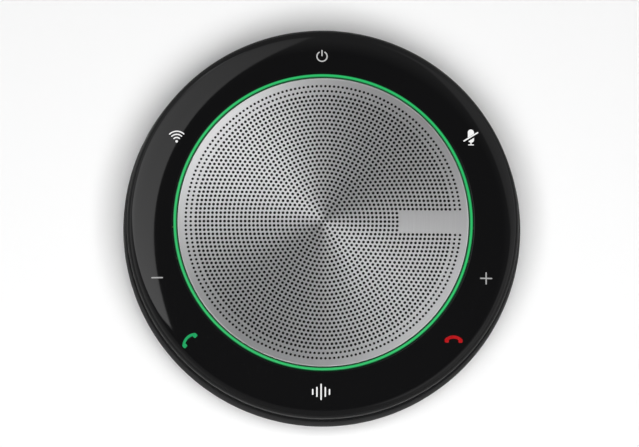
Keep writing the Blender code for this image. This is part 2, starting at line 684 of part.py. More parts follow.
rubber = material("rubber", (0.02, 0.02, 0.02), 0.8)
foam_grey = material("foam_grey", (0.08, 0.08, 0.085), 0.95)
label_grey = material("label_grey", (0.25, 0.25, 0.26), 0.5)
ivory = material("ivory", (0.75, 0.72, 0.62), 0.5)
wire_red = material("wire_red", (0.5, 0.02, 0.02), 0.45)
wire_black = material("wire_black", (0.02, 0.02, 0.02), 0.45)

make_fascia()
make_light_ring()
make_grille()
make_lower_housing()
make_underside()
make_upper_frame()
make_touch_keys()
make_touch_flex()
make_chamber()
make_basket()
make_motor()
make_moving_parts()
make_suspension()
make_main_board()
make_usb_socket()
make_battery()
make_speaker_leads()
make_microphones()
make_screws("case_screw", POST_ANGLES, POST_CIRCLE_R, WELL_SEAT_Z - GAP, 2.6, -1.5, 1.4, -9.6)
make_screws("driver_screw", DRIVER_SCREW_ANGLES, DRIVER_SCREW_CIRCLE_R, FLANGE_Z[1] + 0.15, 1.8, 1.1, 0.95, 3.6)
make_screws("board_screw", BOARD_SCREW_ANGLES, BOARD_SCREW_CIRCLE_R, MAIN_BOARD_Z[1] + 0.15, 1.8, 1.1, 0.95, 4.6)
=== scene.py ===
# %% [markdown]
# # A round conference speakerphone
# The frame is the finished engineering model: every part with its true size and place. This script
# dresses it. Pieces whose outside shows are rebuilt with fine curves, small inner parts keep their
# solids and get a proper finish, and a camera, a floor and soft lights are set up at the end.

# %% Load the fixed frame
import math

import bmesh
import bpy
from mathutils import Matrix, Vector
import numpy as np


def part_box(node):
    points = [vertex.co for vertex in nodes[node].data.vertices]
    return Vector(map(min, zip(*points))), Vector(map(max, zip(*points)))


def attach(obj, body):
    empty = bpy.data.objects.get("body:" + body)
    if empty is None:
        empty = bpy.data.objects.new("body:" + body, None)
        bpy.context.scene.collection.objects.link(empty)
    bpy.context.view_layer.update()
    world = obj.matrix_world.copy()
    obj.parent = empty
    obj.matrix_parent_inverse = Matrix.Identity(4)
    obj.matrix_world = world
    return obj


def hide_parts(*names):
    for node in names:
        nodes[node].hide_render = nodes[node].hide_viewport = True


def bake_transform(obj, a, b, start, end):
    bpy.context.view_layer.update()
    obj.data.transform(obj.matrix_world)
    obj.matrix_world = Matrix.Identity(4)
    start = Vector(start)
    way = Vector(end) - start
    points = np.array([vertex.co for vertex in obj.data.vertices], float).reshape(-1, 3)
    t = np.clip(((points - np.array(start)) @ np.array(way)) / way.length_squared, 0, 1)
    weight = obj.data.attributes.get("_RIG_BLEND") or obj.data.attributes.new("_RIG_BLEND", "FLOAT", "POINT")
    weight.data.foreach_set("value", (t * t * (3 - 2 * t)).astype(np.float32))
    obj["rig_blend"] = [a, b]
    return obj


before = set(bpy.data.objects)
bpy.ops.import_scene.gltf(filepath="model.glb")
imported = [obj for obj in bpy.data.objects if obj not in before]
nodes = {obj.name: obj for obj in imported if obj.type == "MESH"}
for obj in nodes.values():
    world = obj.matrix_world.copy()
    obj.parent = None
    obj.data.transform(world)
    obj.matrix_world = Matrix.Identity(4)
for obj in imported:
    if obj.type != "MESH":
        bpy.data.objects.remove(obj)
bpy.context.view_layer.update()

# %% [markdown]
# ## Sizes
# Everything outside is round, so a few radii and heights say it all. They are read from the frame's
# own boxes. Three numbers can't be read from a box: how the fascia bends, how tight its corner is,
# and the radius of the housing's side.

# %% Sizes from the frame, in metres
MM = 0.001
GAP = 0.2 * MM
FASCIA_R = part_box("fascia")[1].x
FASCIA_FOOT_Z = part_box("fascia")[0].z
FASCIA_TOP_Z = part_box("fascia")[1].z
FASCIA_THICK = 1.8 * MM
FASCIA_BEND_R = 50 * MM
FASCIA_CORNER_R = 3 * MM
RING_OUTER_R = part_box("light_ring")[1].x
RING_TOP_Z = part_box("light_ring")[1].z
RING_LOW_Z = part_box("light_ring")[0].z
RING_INNER_R = RING_OUTER_R - 1.2 * MM
GRILLE_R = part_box("grille")[1].x
GRILLE_TOP_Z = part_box("grille")[1].z
GRILLE_RISE = 0.9 * MM
GRILLE_THICK = 0.8 * MM
HOUSING_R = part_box("lower_housing")[1].y
RIM_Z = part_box("lower_housing")[1].z
FLOOR_UNDER_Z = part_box("lower_housing")[0].z
SIDE_BEND_R = 17 * MM
SIDE_MID_Z = 17.2 * MM
FOOT_R = (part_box("rubber_foot")[1].x - 5 * MM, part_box("rubber_foot")[1].x)
FOOT_TOP_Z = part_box("rubber_foot")[1].z
LABEL_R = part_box("rating_label")[1].x
AROUND = 256
print(f"fascia {FASCIA_R / MM:.1f} mm, grille {GRILLE_R / MM:.1f} mm, housing {HOUSING_R / MM:.1f} mm")

# %% [markdown]
# ## Turned shapes
# A profile drawn as height over radius and spun round the upright axis gives each ring and shell.
# Spinning in code keeps the seam closed: the last step is merged with the first, and the faces are
# then turned outwards.


# %% Profile and turning helpers
def arc(centre_r, centre_z, radius, start, end, steps):
    """Points on an arc in the (r, z) plane, angles in degrees from +r towards +z, both ends included."""
    found = []
    for i in range(steps + 1):
        angle = math.radians(start + (end - start) * i / steps)
        found.append((centre_r + radius * math.cos(angle), centre_z + radius * math.sin(angle)))
    return found


def polar(radius, degrees, z=0.0):
    turn = math.radians(degrees)
    return Vector((radius * math.cos(turn), radius * math.sin(turn), z))


def show(name, mesh):
    obj = bpy.data.objects.new(name, mesh)
    bpy.context.scene.collection.objects.link(obj)
    return obj


def round_shading(mesh, sharp=35):
    mesh.shade_smooth()
    mesh.set_sharp_from_angle(angle=math.radians(sharp))


def turned(name, profile, around=AROUND, sharp=35):
    """A closed solid of revolution about Z, from a closed loop of (r, z) points."""
    shape = bmesh.new()
    loop = [shape.verts.new((r, 0.0, z)) for r, z in profile]
    edges = [shape.edges.new(pair) for pair in zip(loop, loop[1:] + loop[:1])
             if max(pair[0].co.x, pair[1].co.x) > 1e-9]
    bmesh.ops.spin(
        shape,
        geom=loop + edges,
        cent=(0, 0, 0),
        axis=(0, 0, 1),
        angle=math.tau,
        steps=around,
    )
    bmesh.ops.remove_doubles(shape, verts=shape.verts[:], dist=1e-7)
    bmesh.ops.recalc_face_normals(shape, faces=shape.faces[:])
    mesh = bpy.data.meshes.new(name)
    shape.to_mesh(mesh)
    shape.free()
    round_shading(mesh, sharp)
    return show(name, mesh)


def applied(obj):
    """Turns an object's modifiers into its plain mesh."""
    graph = bpy.context.evaluated_depsgraph_get()
    mesh = bpy.data.meshes.new_from_object(obj.evaluated_get(graph))
    obj.modifiers.clear()
    obj.data = mesh
    mesh.name = obj.name
    return obj


def boolean(obj, tool, operation):
    """Cuts, joins or intersects obj with tool, then removes tool."""
    step = obj.modifiers.new("boolean", "BOOLEAN")
    step.operation = operation
    step.solver = "EXACT"
    step.use_self = True
    step.object = tool
    applied(obj)
    bpy.data.objects.remove(tool, do_unlink=True)
    return obj


# %% [markdown]
# ## Shader groups
# Three surface effects come back in several finishes, so each is a node group: concentric lines
# left by a spinning tool, the fine grain of a spark-eroded mould, and the faint uneven film of
# handling. They read Object coordinates, so the pattern keeps its real size on every piece.


# %% Shader group helper
def shader_group(name, inputs, outputs):
    """A node group with float inputs {name: value} and outputs [(name, type)]. Returns its parts."""
    tree = bpy.data.node_groups.new(name, "ShaderNodeTree")
    for label, value in inputs.items():
        socket = tree.interface.new_socket(label, in_out="INPUT", socket_type="NodeSocketFloat")
        socket.default_value = value
    for label, kind in outputs:
        tree.interface.new_socket(label, in_out="OUTPUT", socket_type=kind)
    entry = tree.nodes.new("NodeGroupInput")
    leave = tree.nodes.new("NodeGroupOutput")
    return tree, entry, leave


def math_node(tree, operation, a, b=None):
    node = tree.nodes.new("ShaderNodeMath")
    node.operation = operation
    for socket, value in zip(node.inputs, (a, b)):
        if value is None:
            continue
        if isinstance(value, (int, float)):
            socket.default_value = value
        else:
            tree.links.new(value, socket)
    return node.outputs[0]


def remap(tree, value, low, high):
    """Scales a 0 to 1 value to the range low to high, where either end may be a socket."""
    node = tree.nodes.new("ShaderNodeMapRange")
    tree.links.new(value, node.inputs["Value"])
    for label, end in (("To Min", low), ("To Max", high)):
        if isinstance(end, (int, float)):
            node.inputs[label].default_value = end
        else:
            tree.links.new(end, node.inputs[label])
    return node.outputs["Result"]


def object_place(tree):
    """Object coordinates of the point that is shaded, in metres."""
    return tree.nodes.new("ShaderNodeTexCoord").outputs["Object"]


def split_axes(tree, vector):
    """A vector's X, Y and Z."""
    split = tree.nodes.new("ShaderNodeSeparateXYZ")
    tree.links.new(vector, split.inputs[0])
    return split.outputs


def vector_node(tree, operation, vector, factor=None):
    """A vector node with one vector linked, and the second one given as numbers."""
    node = tree.nodes.new("ShaderNodeVectorMath")
    node.operation = operation
    tree.links.new(vector, node.inputs[0])
    if factor:
        node.inputs[1].default_value = factor
    return node


# %% [markdown]
# A brush or a cutter that turns leaves fine rings. Noise is read along the radius, as many steps to
# the millimetre as there are lines, and the angle only moves it a little, so that each ring drifts
# in brightness on its way round, as real brushing does.


# %% Turning lines: fine rings round the Z axis
def make_turning_lines():
    outputs = [("Tone", "NodeSocketFloat"), ("Height", "NodeSocketFloat")]
    tree, entry, leave = shader_group("turning_lines", {"Lines per mm": 9.0, "Drift": 0.9}, outputs)
    split = split_axes(tree, object_place(tree))
    x, y = split["X"], split["Y"]
    radius = math_node(tree, "SQRT", math_node(tree, "ADD", math_node(tree, "MULTIPLY", x, x),
                                               math_node(tree, "MULTIPLY", y, y)))
    angle = math_node(tree, "ARCTAN2", y, x)
    across = math_node(tree, "MULTIPLY", math_node(tree, "MULTIPLY", radius, 1000.0),
                       entry.outputs["Lines per mm"])
    lines = tree.nodes.new("ShaderNodeCombineXYZ")
    tree.links.new(across, lines.inputs["X"])
    for axis, wave in (("Y", "COSINE"), ("Z", "SINE")):
        part = math_node(tree, "MULTIPLY", math_node(tree, wave, angle), entry.outputs["Drift"])
        tree.links.new(part, lines.inputs[axis])
    noise = tree.nodes.new("ShaderNodeTexNoise")
    noise.inputs["Scale"].default_value = 1.0
    noise.inputs["Detail"].default_value = 3.0
    noise.inputs["Roughness"].default_value = 0.65
    tree.links.new(lines.outputs[0], noise.inputs["Vector"])
    tree.links.new(noise.outputs["Fac"], leave.inputs["Tone"])
    tree.links.new(noise.outputs["Fac"], leave.inputs["Height"])
    return tree


turning_lines = make_turning_lines()
print("group:", turning_lines.name)


# %% [markdown]
# Sparks erode the steel of a mould into fine pits, and the plastic copies them. Smooth cells give the
# pits and noise breaks them up. An image of grain would need an unwrapped surface. This doesn't.


# %% Mould grain: the fine bumps of a textured moulding
def make_mould_grain():
    outputs = [("Tone", "NodeSocketFloat"), ("Height", "NodeSocketFloat")]
    tree, entry, leave = shader_group("mould_grain", {"Grains per mm": 4.0}, outputs)
    place = object_place(tree)
    scale = math_node(tree, "MULTIPLY", entry.outputs["Grains per mm"], 1000.0)
    cells = tree.nodes.new("ShaderNodeTexVoronoi")
    cells.feature = "SMOOTH_F1"
    noise = tree.nodes.new("ShaderNodeTexNoise")
    noise.inputs["Detail"].default_value = 4.0
    for texture in (cells, noise):
        tree.links.new(place, texture.inputs["Vector"])
        tree.links.new(scale, texture.inputs["Scale"])
    height = math_node(tree, "ADD", math_node(tree, "MULTIPLY", cells.outputs["Distance"], 0.6),
                       math_node(tree, "MULTIPLY", noise.outputs["Fac"], 0.4))
    broad = tree.nodes.new("ShaderNodeTexNoise")
    broad.inputs["Scale"].default_value = 90.0
    broad.inputs["Detail"].default_value = 2.0
    tree.links.new(place, broad.inputs["Vector"])
    tone = math_node(tree, "ADD", math_node(tree, "MULTIPLY", noise.outputs["Fac"], 0.5),
                     math_node(tree, "MULTIPLY", broad.outputs["Fac"], 0.5))
    tree.links.new(tone, leave.inputs["Tone"])
    tree.links.new(height, leave.inputs["Height"])
    return tree


mould_grain = make_mould_grain()
print("group:", mould_grain.name)


# %% [markdown]
# Fingers leave a film that changes a gloss surface's sheen more than its colour, and dust settles as
# separate specks. The film is distorted noise. A speck is the middle of a random cell.


# %% Handling film: faint smears and a few specks of dust
def make_handling_film():
    outputs = [("Smear", "NodeSocketFloat"), ("Dust", "NodeSocketFloat")]
    tree, entry, leave = shader_group("handling_film", {"Smear size mm": 14.0, "Dust share": 0.03}, outputs)
    place = object_place(tree)
    smear = tree.nodes.new("ShaderNodeTexNoise")
    smear.inputs["Detail"].default_value = 5.0
    smear.inputs["Distortion"].default_value = 0.8
    tree.links.new(place, smear.inputs["Vector"])
    tree.links.new(math_node(tree, "DIVIDE", 1000.0, entry.outputs["Smear size mm"]), smear.inputs["Scale"])
    specks = tree.nodes.new("ShaderNodeTexVoronoi")
    specks.inputs["Scale"].default_value = 420.0
    tree.links.new(place, specks.inputs["Vector"])
    dust = math_node(tree, "LESS_THAN", specks.outputs["Distance"], entry.outputs["Dust share"])
    tree.links.new(smear.outputs["Fac"], leave.inputs["Smear"])
    tree.links.new(dust, leave.inputs["Dust"])
    return tree


handling_film = make_handling_film()
print("group:", handling_film.name)


# %% [markdown]
# ## Building a finish
# Every finish starts as one Principled shader. tint runs its colour between two tones, relief turns
# a height into a bump, and use_group places one of the effects above. No real surface has one flat
# colour, so even plain plastic gets all three.


# %% Material helpers
def new_material(name, colour, roughness, metallic=0.0):
    """A material with its Principled shader set. Returns both."""
    made = bpy.data.materials.new(name)
    made.use_nodes = True
    made.diffuse_color = (*colour, 1.0)
    shader = made.node_tree.nodes["Principled BSDF"]
    shader.inputs["Base Color"].default_value = (*colour, 1.0)
    shader.inputs["Roughness"].default_value = roughness
    shader.inputs["Metallic"].default_value = metallic
    return made, shader


def use_group(material, group, **values):
    node = material.node_tree.nodes.new("ShaderNodeGroup")
    node.node_tree = group
    for label, value in values.items():
        node.inputs[label.replace("_", " ")].default_value = value
    return node


def tint(material, shader, mask, dark, light):
    """Base colour that runs from dark to light with a mask."""
    tree = material.node_tree
    mix = tree.nodes.new("ShaderNodeMix")
    mix.data_type = "RGBA"
    mix.inputs["A"].default_value = (*dark, 1.0)
    mix.inputs["B"].default_value = (*light, 1.0)
    tree.links.new(mask, mix.inputs["Factor"])
    tree.links.new(mix.outputs["Result"], shader.inputs["Base Color"])


def relief(material, shader, height, depth):
    """Bump from a 0 to 1 height, where depth is the height of a 1 in metres."""
    tree = material.node_tree
    bump = tree.nodes.new("ShaderNodeBump")
    bump.inputs["Distance"].default_value = depth
    tree.links.new(height, bump.inputs["Height"])
    tree.links.new(bump.outputs["Normal"], shader.inputs["Normal"])


def moulded(name, colour, roughness, grains=4.0, depth=0.004 * MM, spread=0.25):
    """Textured plastic or rubber: grain in the surface, tone and gloss that vary a little with it."""
    made, shader = new_material(name, colour, roughness)
    grain = use_group(made, mould_grain, Grains_per_mm=grains)
    tone = grain.outputs["Tone"]
    tint(made, shader, tone, [c * (1 - spread) for c in colour], [c * (1 + spread) for c in colour])
    gloss = remap(made.node_tree, tone, roughness * 0.85, roughness * 1.15)
    made.node_tree.links.new(gloss, shader.inputs["Roughness"])
    relief(made, shader, grain.outputs["Height"], depth)
    return made


def metal(name, colour, roughness, lines=6.0, spread=0.12, depth=0.0015 * MM):
    """Turned or drawn metal: fine lines in colour, gloss and surface."""
    made, shader = new_material(name, colour, roughness, 1.0)
    rings = use_group(made, turning_lines, Lines_per_mm=lines)
    tone = rings.outputs["Tone"]
    tint(made, shader, tone, [c * (1 - spread) for c in colour], [min(c * (1 + spread), 1) for c in colour])
    gloss = remap(made.node_tree, tone, roughness * 0.8, roughness * 1.2)
    made.node_tree.links.new(gloss, shader.inputs["Roughness"])
    relief(made, shader, rings.outputs["Height"], depth)
    return made


# %% [markdown]
# ## Gloss fascia
# The real ring is one polished black moulding. It is level beside the light ring, bends down in a
# large arc, turns a tight corner and ends in a short skirt at the seam. Both arcs meet without a
# kink, because a gloss surface shows every kink as a jump in its reflection.


# %% Fascia shape
def fascia_slope():
    """The slope, in degrees, where the large bend meets the tight corner."""
    inner_r = RING_OUTER_R + GAP
    corner_r = FASCIA_R - FASCIA_CORNER_R
    return math.degrees(math.asin((corner_r - inner_r) / (FASCIA_BEND_R - FASCIA_CORNER_R)))


def fascia_top(offset=0.0, inner_r=RING_OUTER_R + GAP, steps=40, corner_steps=14):
    """The fascia's outer line from its inner edge to the skirt, moved outwards by an offset."""
    slope = fascia_slope()
    centre_r = RING_OUTER_R + GAP
    centre_z = FASCIA_TOP_Z - FASCIA_BEND_R
    start = math.degrees(math.acos((inner_r - centre_r) / FASCIA_BEND_R))
    reach = FASCIA_BEND_R - FASCIA_CORNER_R
    corner_z = centre_z + reach * math.cos(math.radians(slope))
    line = arc(centre_r, centre_z, FASCIA_BEND_R + offset, start, 90 - slope, steps)
    corner_r = FASCIA_CORNER_R + offset
    line += arc(FASCIA_R - FASCIA_CORNER_R, corner_z, corner_r, 90 - slope, 0, corner_steps)[1:]
    return line


def fascia_profile():
    inner_r = RING_OUTER_R + GAP
    lip_r = inner_r + 1.0 * MM
    ease = 0.25 * MM
    foot_ease = 0.2 * MM
    line = arc(inner_r + ease, FASCIA_TOP_Z - ease, ease, 180, 90, 4)[:-1]
    line += [(r, z) for r, z in fascia_top() if r > inner_r + ease]
    line += arc(FASCIA_R - foot_ease, FASCIA_FOOT_Z + foot_ease, foot_ease, 0, -90, 3)
    line += [(FASCIA_R - FASCIA_THICK, FASCIA_FOOT_Z)]
    inside = [(r, z) for r, z in fascia_top(-FASCIA_THICK) if r > lip_r]
    line += inside[::-1]
    line += [(lip_r, RING_LOW_Z), (inner_r, RING_LOW_Z)]
    return line


fascia = turned("gloss_fascia", fascia_profile())
print("fascia slope at the corner:", round(fascia_slope(), 1), "degrees; faces:", len(fascia.data.polygons))

# %% [markdown]
# Black gloss plastic reflects about a twenty-fifth of what it faces and shows nearly nothing of its
# own. The film of handling only moves the roughness a little, and a few specks of dust lift it.


# %% Fascia finish
BLACK = (0.0034, 0.0034, 0.0037)
DUST = (0.008, 0.008, 0.008)


def make_gloss_black():
    made, shader = new_material("gloss_black", BLACK, 0.05)
    film = use_group(made, handling_film, Smear_size_mm=16.0, Dust_share=0.012)
    gloss = remap(made.node_tree, film.outputs["Smear"], 0.035, 0.075)
    made.node_tree.links.new(gloss, shader.inputs["Roughness"])
    tint(made, shader, film.outputs["Dust"], BLACK, DUST)
    return made


fascia.data.materials.append(make_gloss_black())
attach(fascia, "case")
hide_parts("fascia")

# %% [markdown]
# ## Light ring
# A milky diffuser fills the gap between fascia and grille. Light from the board below makes it glow:
# brightest along its middle, and dark at both edges, where the parts beside it shade it.


# %% Light ring shape
def ring_profile():
    ease = 0.15 * MM
    chamfer = 0.3 * MM
    line = [(RING_INNER_R, RING_LOW_Z), (RING_INNER_R, RING_TOP_Z - chamfer)]
    line += [(RING_INNER_R + chamfer, RING_TOP_Z)]
    line += arc(RING_OUTER_R - ease, RING_TOP_Z - ease, ease, 90, 0, 3)
    line += [(RING_OUTER_R, RING_LOW_Z)]
    return line


light_ring = turned("glowing_ring", ring_profile())


# %% [markdown]
# The glow is emission whose colour is a ramp over the radius. Lamps inside the case would light it in
# the same way, but slowly and with noise, and the narrow dark edges couldn't be set one by one.


# %% Light ring finish
UNLIT = (0.001, 0.02, 0.006)
GLOW = ((0.16, UNLIT), (0.3, (0.01, 0.32, 0.08)), (0.55, (0.02, 0.5, 0.13)), (0.78, (0.014, 0.4, 0.1)),
        (0.9, UNLIT))


def make_ring_green():
    made, shader = new_material("ring_green", (0.004, 0.05, 0.018), 0.3)
    tree = made.node_tree
    place = object_place(tree)
    flat = vector_node(tree, "MULTIPLY", place, (1.0, 1.0, 0.0))
    radius = vector_node(tree, "LENGTH", flat.outputs["Vector"])
    across = tree.nodes.new("ShaderNodeMapRange")
    across.inputs["From Min"].default_value = RING_INNER_R
    across.inputs["From Max"].default_value = RING_OUTER_R
    tree.links.new(radius.outputs["Value"], across.inputs["Value"])
    ramp = tree.nodes.new("ShaderNodeValToRGB")
    for end in ramp.color_ramp.elements:
        end.color = (0.001, 0.015, 0.004, 1)
    for share, colour in GLOW:
        ramp.color_ramp.elements.new(share).color = (*colour, 1)
    tree.links.new(across.outputs["Result"], ramp.inputs["Fac"])
    tree.links.new(ramp.outputs["Color"], shader.inputs["Emission Color"])
    shader.inputs["Emission Strength"].default_value = 1.0
    return made


light_ring.data.materials.append(make_ring_green())
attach(light_ring, "case")
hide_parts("light_ring")
print("light ring:", len(light_ring.data.polygons), "faces")

# %% [markdown]
# ## Perforated grille
# The holes lie on rings: one in the middle, six round it, then twelve, and so on, each ring with six
# more than the last. A plain patch is left on one side. Geometry Nodes lays out the points by that
# rule, puts a circle on each, fills the plate round them, thickens it and domes it, so that every
# hole is a real one.


# %% Node tree helper for geometry
def geometry_tree(name, inputs):
    """A Geometry Nodes tree with inputs [(name, type)]. Returns it, its ends and {name: identifier}."""
    tree = bpy.data.node_groups.new(name, "GeometryNodeTree")
    tree.interface.new_socket("Geometry", in_out="INPUT", socket_type="NodeSocketGeometry")
    identifiers = {}
    for label, kind in inputs:
        socket = tree.interface.new_socket(label, in_out="INPUT", socket_type=kind)
        identifiers[label] = socket.identifier
    tree.interface.new_socket("Geometry", in_out="OUTPUT", socket_type="NodeSocketGeometry")
    entry = tree.nodes.new("NodeGroupInput")
    leave = tree.nodes.new("NodeGroupOutput")
    return tree, entry, leave, identifiers


def grow(name, tree, identifiers, values):
    """Runs a tree on an empty mesh with the given inputs and returns the result as a plain mesh object."""
    obj = show(name, bpy.data.meshes.new(name))
    nodes_modifier = obj.modifiers.new("grow", "NODES")
    nodes_modifier.node_group = tree
    for label, value in values.items():
        nodes_modifier[identifiers[label]] = value
    return applied(obj)


# %% [markdown]
# The tree's inputs are the plate's own sizes, so the same tree could make any such grille. Its points
# know only their number, and arithmetic turns that into a ring and a place on it.


# %% Perforation tree
def make_perforation_tree():
    floats = ("Pitch", "Edge gap", "Hole radius", "Edge hole radius", "Plate radius", "Thickness", "Rise",
              "Patch start", "Patch half height")
    inputs = [("Rings", "NodeSocketInt"), ("Edge rings", "NodeSocketInt"), ("Sides", "NodeSocketInt")]
    inputs += [(label, "NodeSocketFloat") for label in floats]
    inputs += [("Material", "NodeSocketMaterial"), ("Hole material", "NodeSocketMaterial")]
    tree, entry, leave, identifiers = geometry_tree("perforated_plate", inputs)
    size = entry.outputs
    link = tree.links.new

    def calc(operation, a, b=None):
        return math_node(tree, operation, a, b)

    # Point i lies on ring k, which starts at point 1 + 3k(k - 1) and holds 6k points.
    index = tree.nodes.new("GeometryNodeInputIndex").outputs[0]
    root = calc("SQRT", calc("ADD", calc("MULTIPLY", index, 12.0), 9.0))
    ring = calc("CEIL", calc("SUBTRACT", calc("DIVIDE", calc("SUBTRACT", root, 3.0), 6.0), 0.0005))
    first = calc("ADD", calc("MULTIPLY", calc("MULTIPLY", ring, 3.0), calc("SUBTRACT", ring, 1.0)), 1.0)
    step = calc("DIVIDE", math.tau / 6.0, calc("MAXIMUM", ring, 1.0))
    angle = calc("MULTIPLY", calc("SUBTRACT", index, first), step)
    beyond = calc("MAXIMUM", calc("SUBTRACT", ring, size["Rings"]), 0.0)
    radius = calc("ADD", calc("MULTIPLY", ring, size["Pitch"]), calc("MULTIPLY", beyond, size["Edge gap"]))
    place = tree.nodes.new("ShaderNodeCombineXYZ")
    link(calc("MULTIPLY", radius, calc("COSINE", angle)), place.inputs["X"])
    link(calc("MULTIPLY", radius, calc("SINE", angle)), place.inputs["Y"])
    total = calc("ADD", size["Rings"], size["Edge rings"])
    count = calc("ADD", calc("MULTIPLY", calc("MULTIPLY", total, calc("ADD", total, 1.0)), 3.0), 1.0)
    points = tree.nodes.new("GeometryNodePoints")
    link(count, points.inputs["Count"])
    link(place.outputs[0], points.inputs["Position"])
    near_edge = calc("GREATER_THAN", beyond, 0.5)
    hole_r = tree.nodes.new("ShaderNodeMix")
    link(near_edge, hole_r.inputs["Factor"])
    link(size["Hole radius"], hole_r.inputs["A"])
    link(size["Edge hole radius"], hole_r.inputs["B"])
    link(hole_r.outputs["Result"], points.inputs["Radius"])

    # The plain patch: points beyond its start and within its height are dropped.
    where = tree.nodes.new("GeometryNodeInputPosition").outputs[0]
    split = split_axes(tree, where)
    beside = calc("LESS_THAN", calc("ABSOLUTE", split["Y"]), size["Patch half height"])
    inside = calc("MULTIPLY", beside, calc("GREATER_THAN", split["X"], size["Patch start"]))
    drop = tree.nodes.new("GeometryNodeDeleteGeometry")
    link(points.outputs[0], drop.inputs["Geometry"])
    link(inside, drop.inputs["Selection"])

    hole = tree.nodes.new("GeometryNodeCurvePrimitiveCircle")
    link(size["Sides"], hole.inputs["Resolution"])
    hole.inputs["Radius"].default_value = 1.0
    holes = tree.nodes.new("GeometryNodeInstanceOnPoints")
    link(drop.outputs[0], holes.inputs["Points"])
    link(hole.outputs["Curve"], holes.inputs["Instance"])
    link(tree.nodes.new("GeometryNodeInputRadius").outputs[0], holes.inputs["Scale"])
    edge = tree.nodes.new("GeometryNodeCurvePrimitiveCircle")
    edge.inputs["Resolution"].default_value = AROUND
    link(size["Plate radius"], edge.inputs["Radius"])
    both = tree.nodes.new("GeometryNodeJoinGeometry")
    real = tree.nodes.new("GeometryNodeRealizeInstances")
    link(holes.outputs[0], real.inputs[0])
    link(real.outputs[0], both.inputs[0])
    link(edge.outputs["Curve"], both.inputs[0])

    # Filled between the circles, raised by its thickness, closed below and domed.
    sheet = tree.nodes.new("GeometryNodeFillCurve")
    link(both.outputs[0], sheet.inputs["Curve"])
    raised = tree.nodes.new("GeometryNodeExtrudeMesh")
    raised.inputs["Individual"].default_value = False
    up = tree.nodes.new("ShaderNodeCombineXYZ")
    link(size["Thickness"], up.inputs["Z"])
    link(sheet.outputs["Mesh"], raised.inputs["Mesh"])
    link(up.outputs[0], raised.inputs["Offset"])
    raised.inputs["Offset Scale"].default_value = 1.0
    under = tree.nodes.new("GeometryNodeFlipFaces")
    link(sheet.outputs["Mesh"], under.inputs["Mesh"])
    closed = tree.nodes.new("GeometryNodeJoinGeometry")
    link(raised.outputs["Mesh"], closed.inputs[0])
    link(under.outputs["Mesh"], closed.inputs[0])
    merged = tree.nodes.new("GeometryNodeMergeByDistance")
    merged.inputs["Distance"].default_value = 1e-6
    link(closed.outputs[0], merged.inputs["Geometry"])
    squares = [calc("MULTIPLY", split[axis], split[axis]) for axis in ("X", "Y")]
    out = calc("DIVIDE", calc("SQRT", calc("ADD", *squares)), size["Plate radius"])
    lift = tree.nodes.new("ShaderNodeCombineXYZ")
    fall = calc("SUBTRACT", 1.0, calc("MULTIPLY", out, out))
    link(calc("MULTIPLY", fall, size["Rise"]), lift.inputs["Z"])
    domed = tree.nodes.new("GeometryNodeSetPosition")
    link(merged.outputs[0], domed.inputs["Geometry"])
    link(lift.outputs[0], domed.inputs["Offset"])

    # The walls of the holes are darker than the face, a painted shade for the dark inside each hole:
    # upright, and not on the plate's own edge.
    finish = tree.nodes.new("GeometryNodeSetMaterial")
    link(domed.outputs[0], finish.inputs["Geometry"])
    link(size["Material"], finish.inputs["Material"])
    facing = split_axes(tree, tree.nodes.new("GeometryNodeInputNormal").outputs[0])
    upright = calc("LESS_THAN", calc("ABSOLUTE", facing["Z"]), 0.5)
    wall = calc("MULTIPLY", upright, calc("LESS_THAN", out, 0.985))
    holes_finish = tree.nodes.new("GeometryNodeSetMaterial")
    link(finish.outputs[0], holes_finish.inputs["Geometry"])
    link(wall, holes_finish.inputs["Selection"])
    link(size["Hole material"], holes_finish.inputs["Material"])
    last = tree.nodes.new("GeometryNodeRealizeInstances")
    link(holes_finish.outputs[0], last.inputs[0])
    link(last.outputs[0], leave.inputs[0])
    return tree, identifiers


perforated_plate, plate_inputs = make_perforation_tree()
print("tree:", perforated_plate.name, "with", len(perforated_plate.nodes), "nodes")

# %% [markdown]
# The plate is aluminium brushed on a spindle. The brush leaves rings, and rings spread a highlight
# across themselves: each lamp becomes a bright wedge from the middle to the edge. The Principled
# shader does this with anisotropy. It stretches a highlight along the tangent, so the tangent points
# away from the axis, across the brush lines.


# %% Brushed aluminium
def make_brushed_aluminium():
    made, shader = new_material("grille_aluminium", (0.8, 0.8, 0.81), 0.4, 0.95)
    tree = made.node_tree
    rings = use_group(made, turning_lines, Lines_per_mm=7.0, Drift=1.2)
    tint(made, shader, rings.outputs["Tone"], (0.71, 0.71, 0.72), (0.91, 0.91, 0.92))
    gloss = remap(tree, rings.outputs["Tone"], 0.35, 0.46)
    tree.links.new(gloss, shader.inputs["Roughness"])
    relief(made, shader, rings.outputs["Height"], 0.002 * MM)
    place = object_place(tree)
    outward = vector_node(tree, "MULTIPLY", place, (1.0, 1.0, 0.0))
    unit = vector_node(tree, "NORMALIZE", outward.outputs["Vector"])
    to_world = tree.nodes.new("ShaderNodeVectorTransform")
    to_world.vector_type = "VECTOR"
    to_world.convert_from = "OBJECT"
    to_world.convert_to = "WORLD"
    tree.links.new(unit.outputs["Vector"], to_world.inputs[0])
    tree.links.new(to_world.outputs[0], shader.inputs["Tangent"])
    shader.inputs["Anisotropic"].default_value = 0.85
    return made


grille_aluminium = make_brushed_aluminium()
# Painted shade: a dull near black on the hole walls, where the plate's own metal would only stand in shade.
hole_wall_shade = moulded("hole_wall_shade", (0.008, 0.008, 0.008), 0.8, grains=6.0)
hole_wall_shade.node_tree.nodes["Principled BSDF"].inputs["Specular IOR Level"].default_value = 0.1
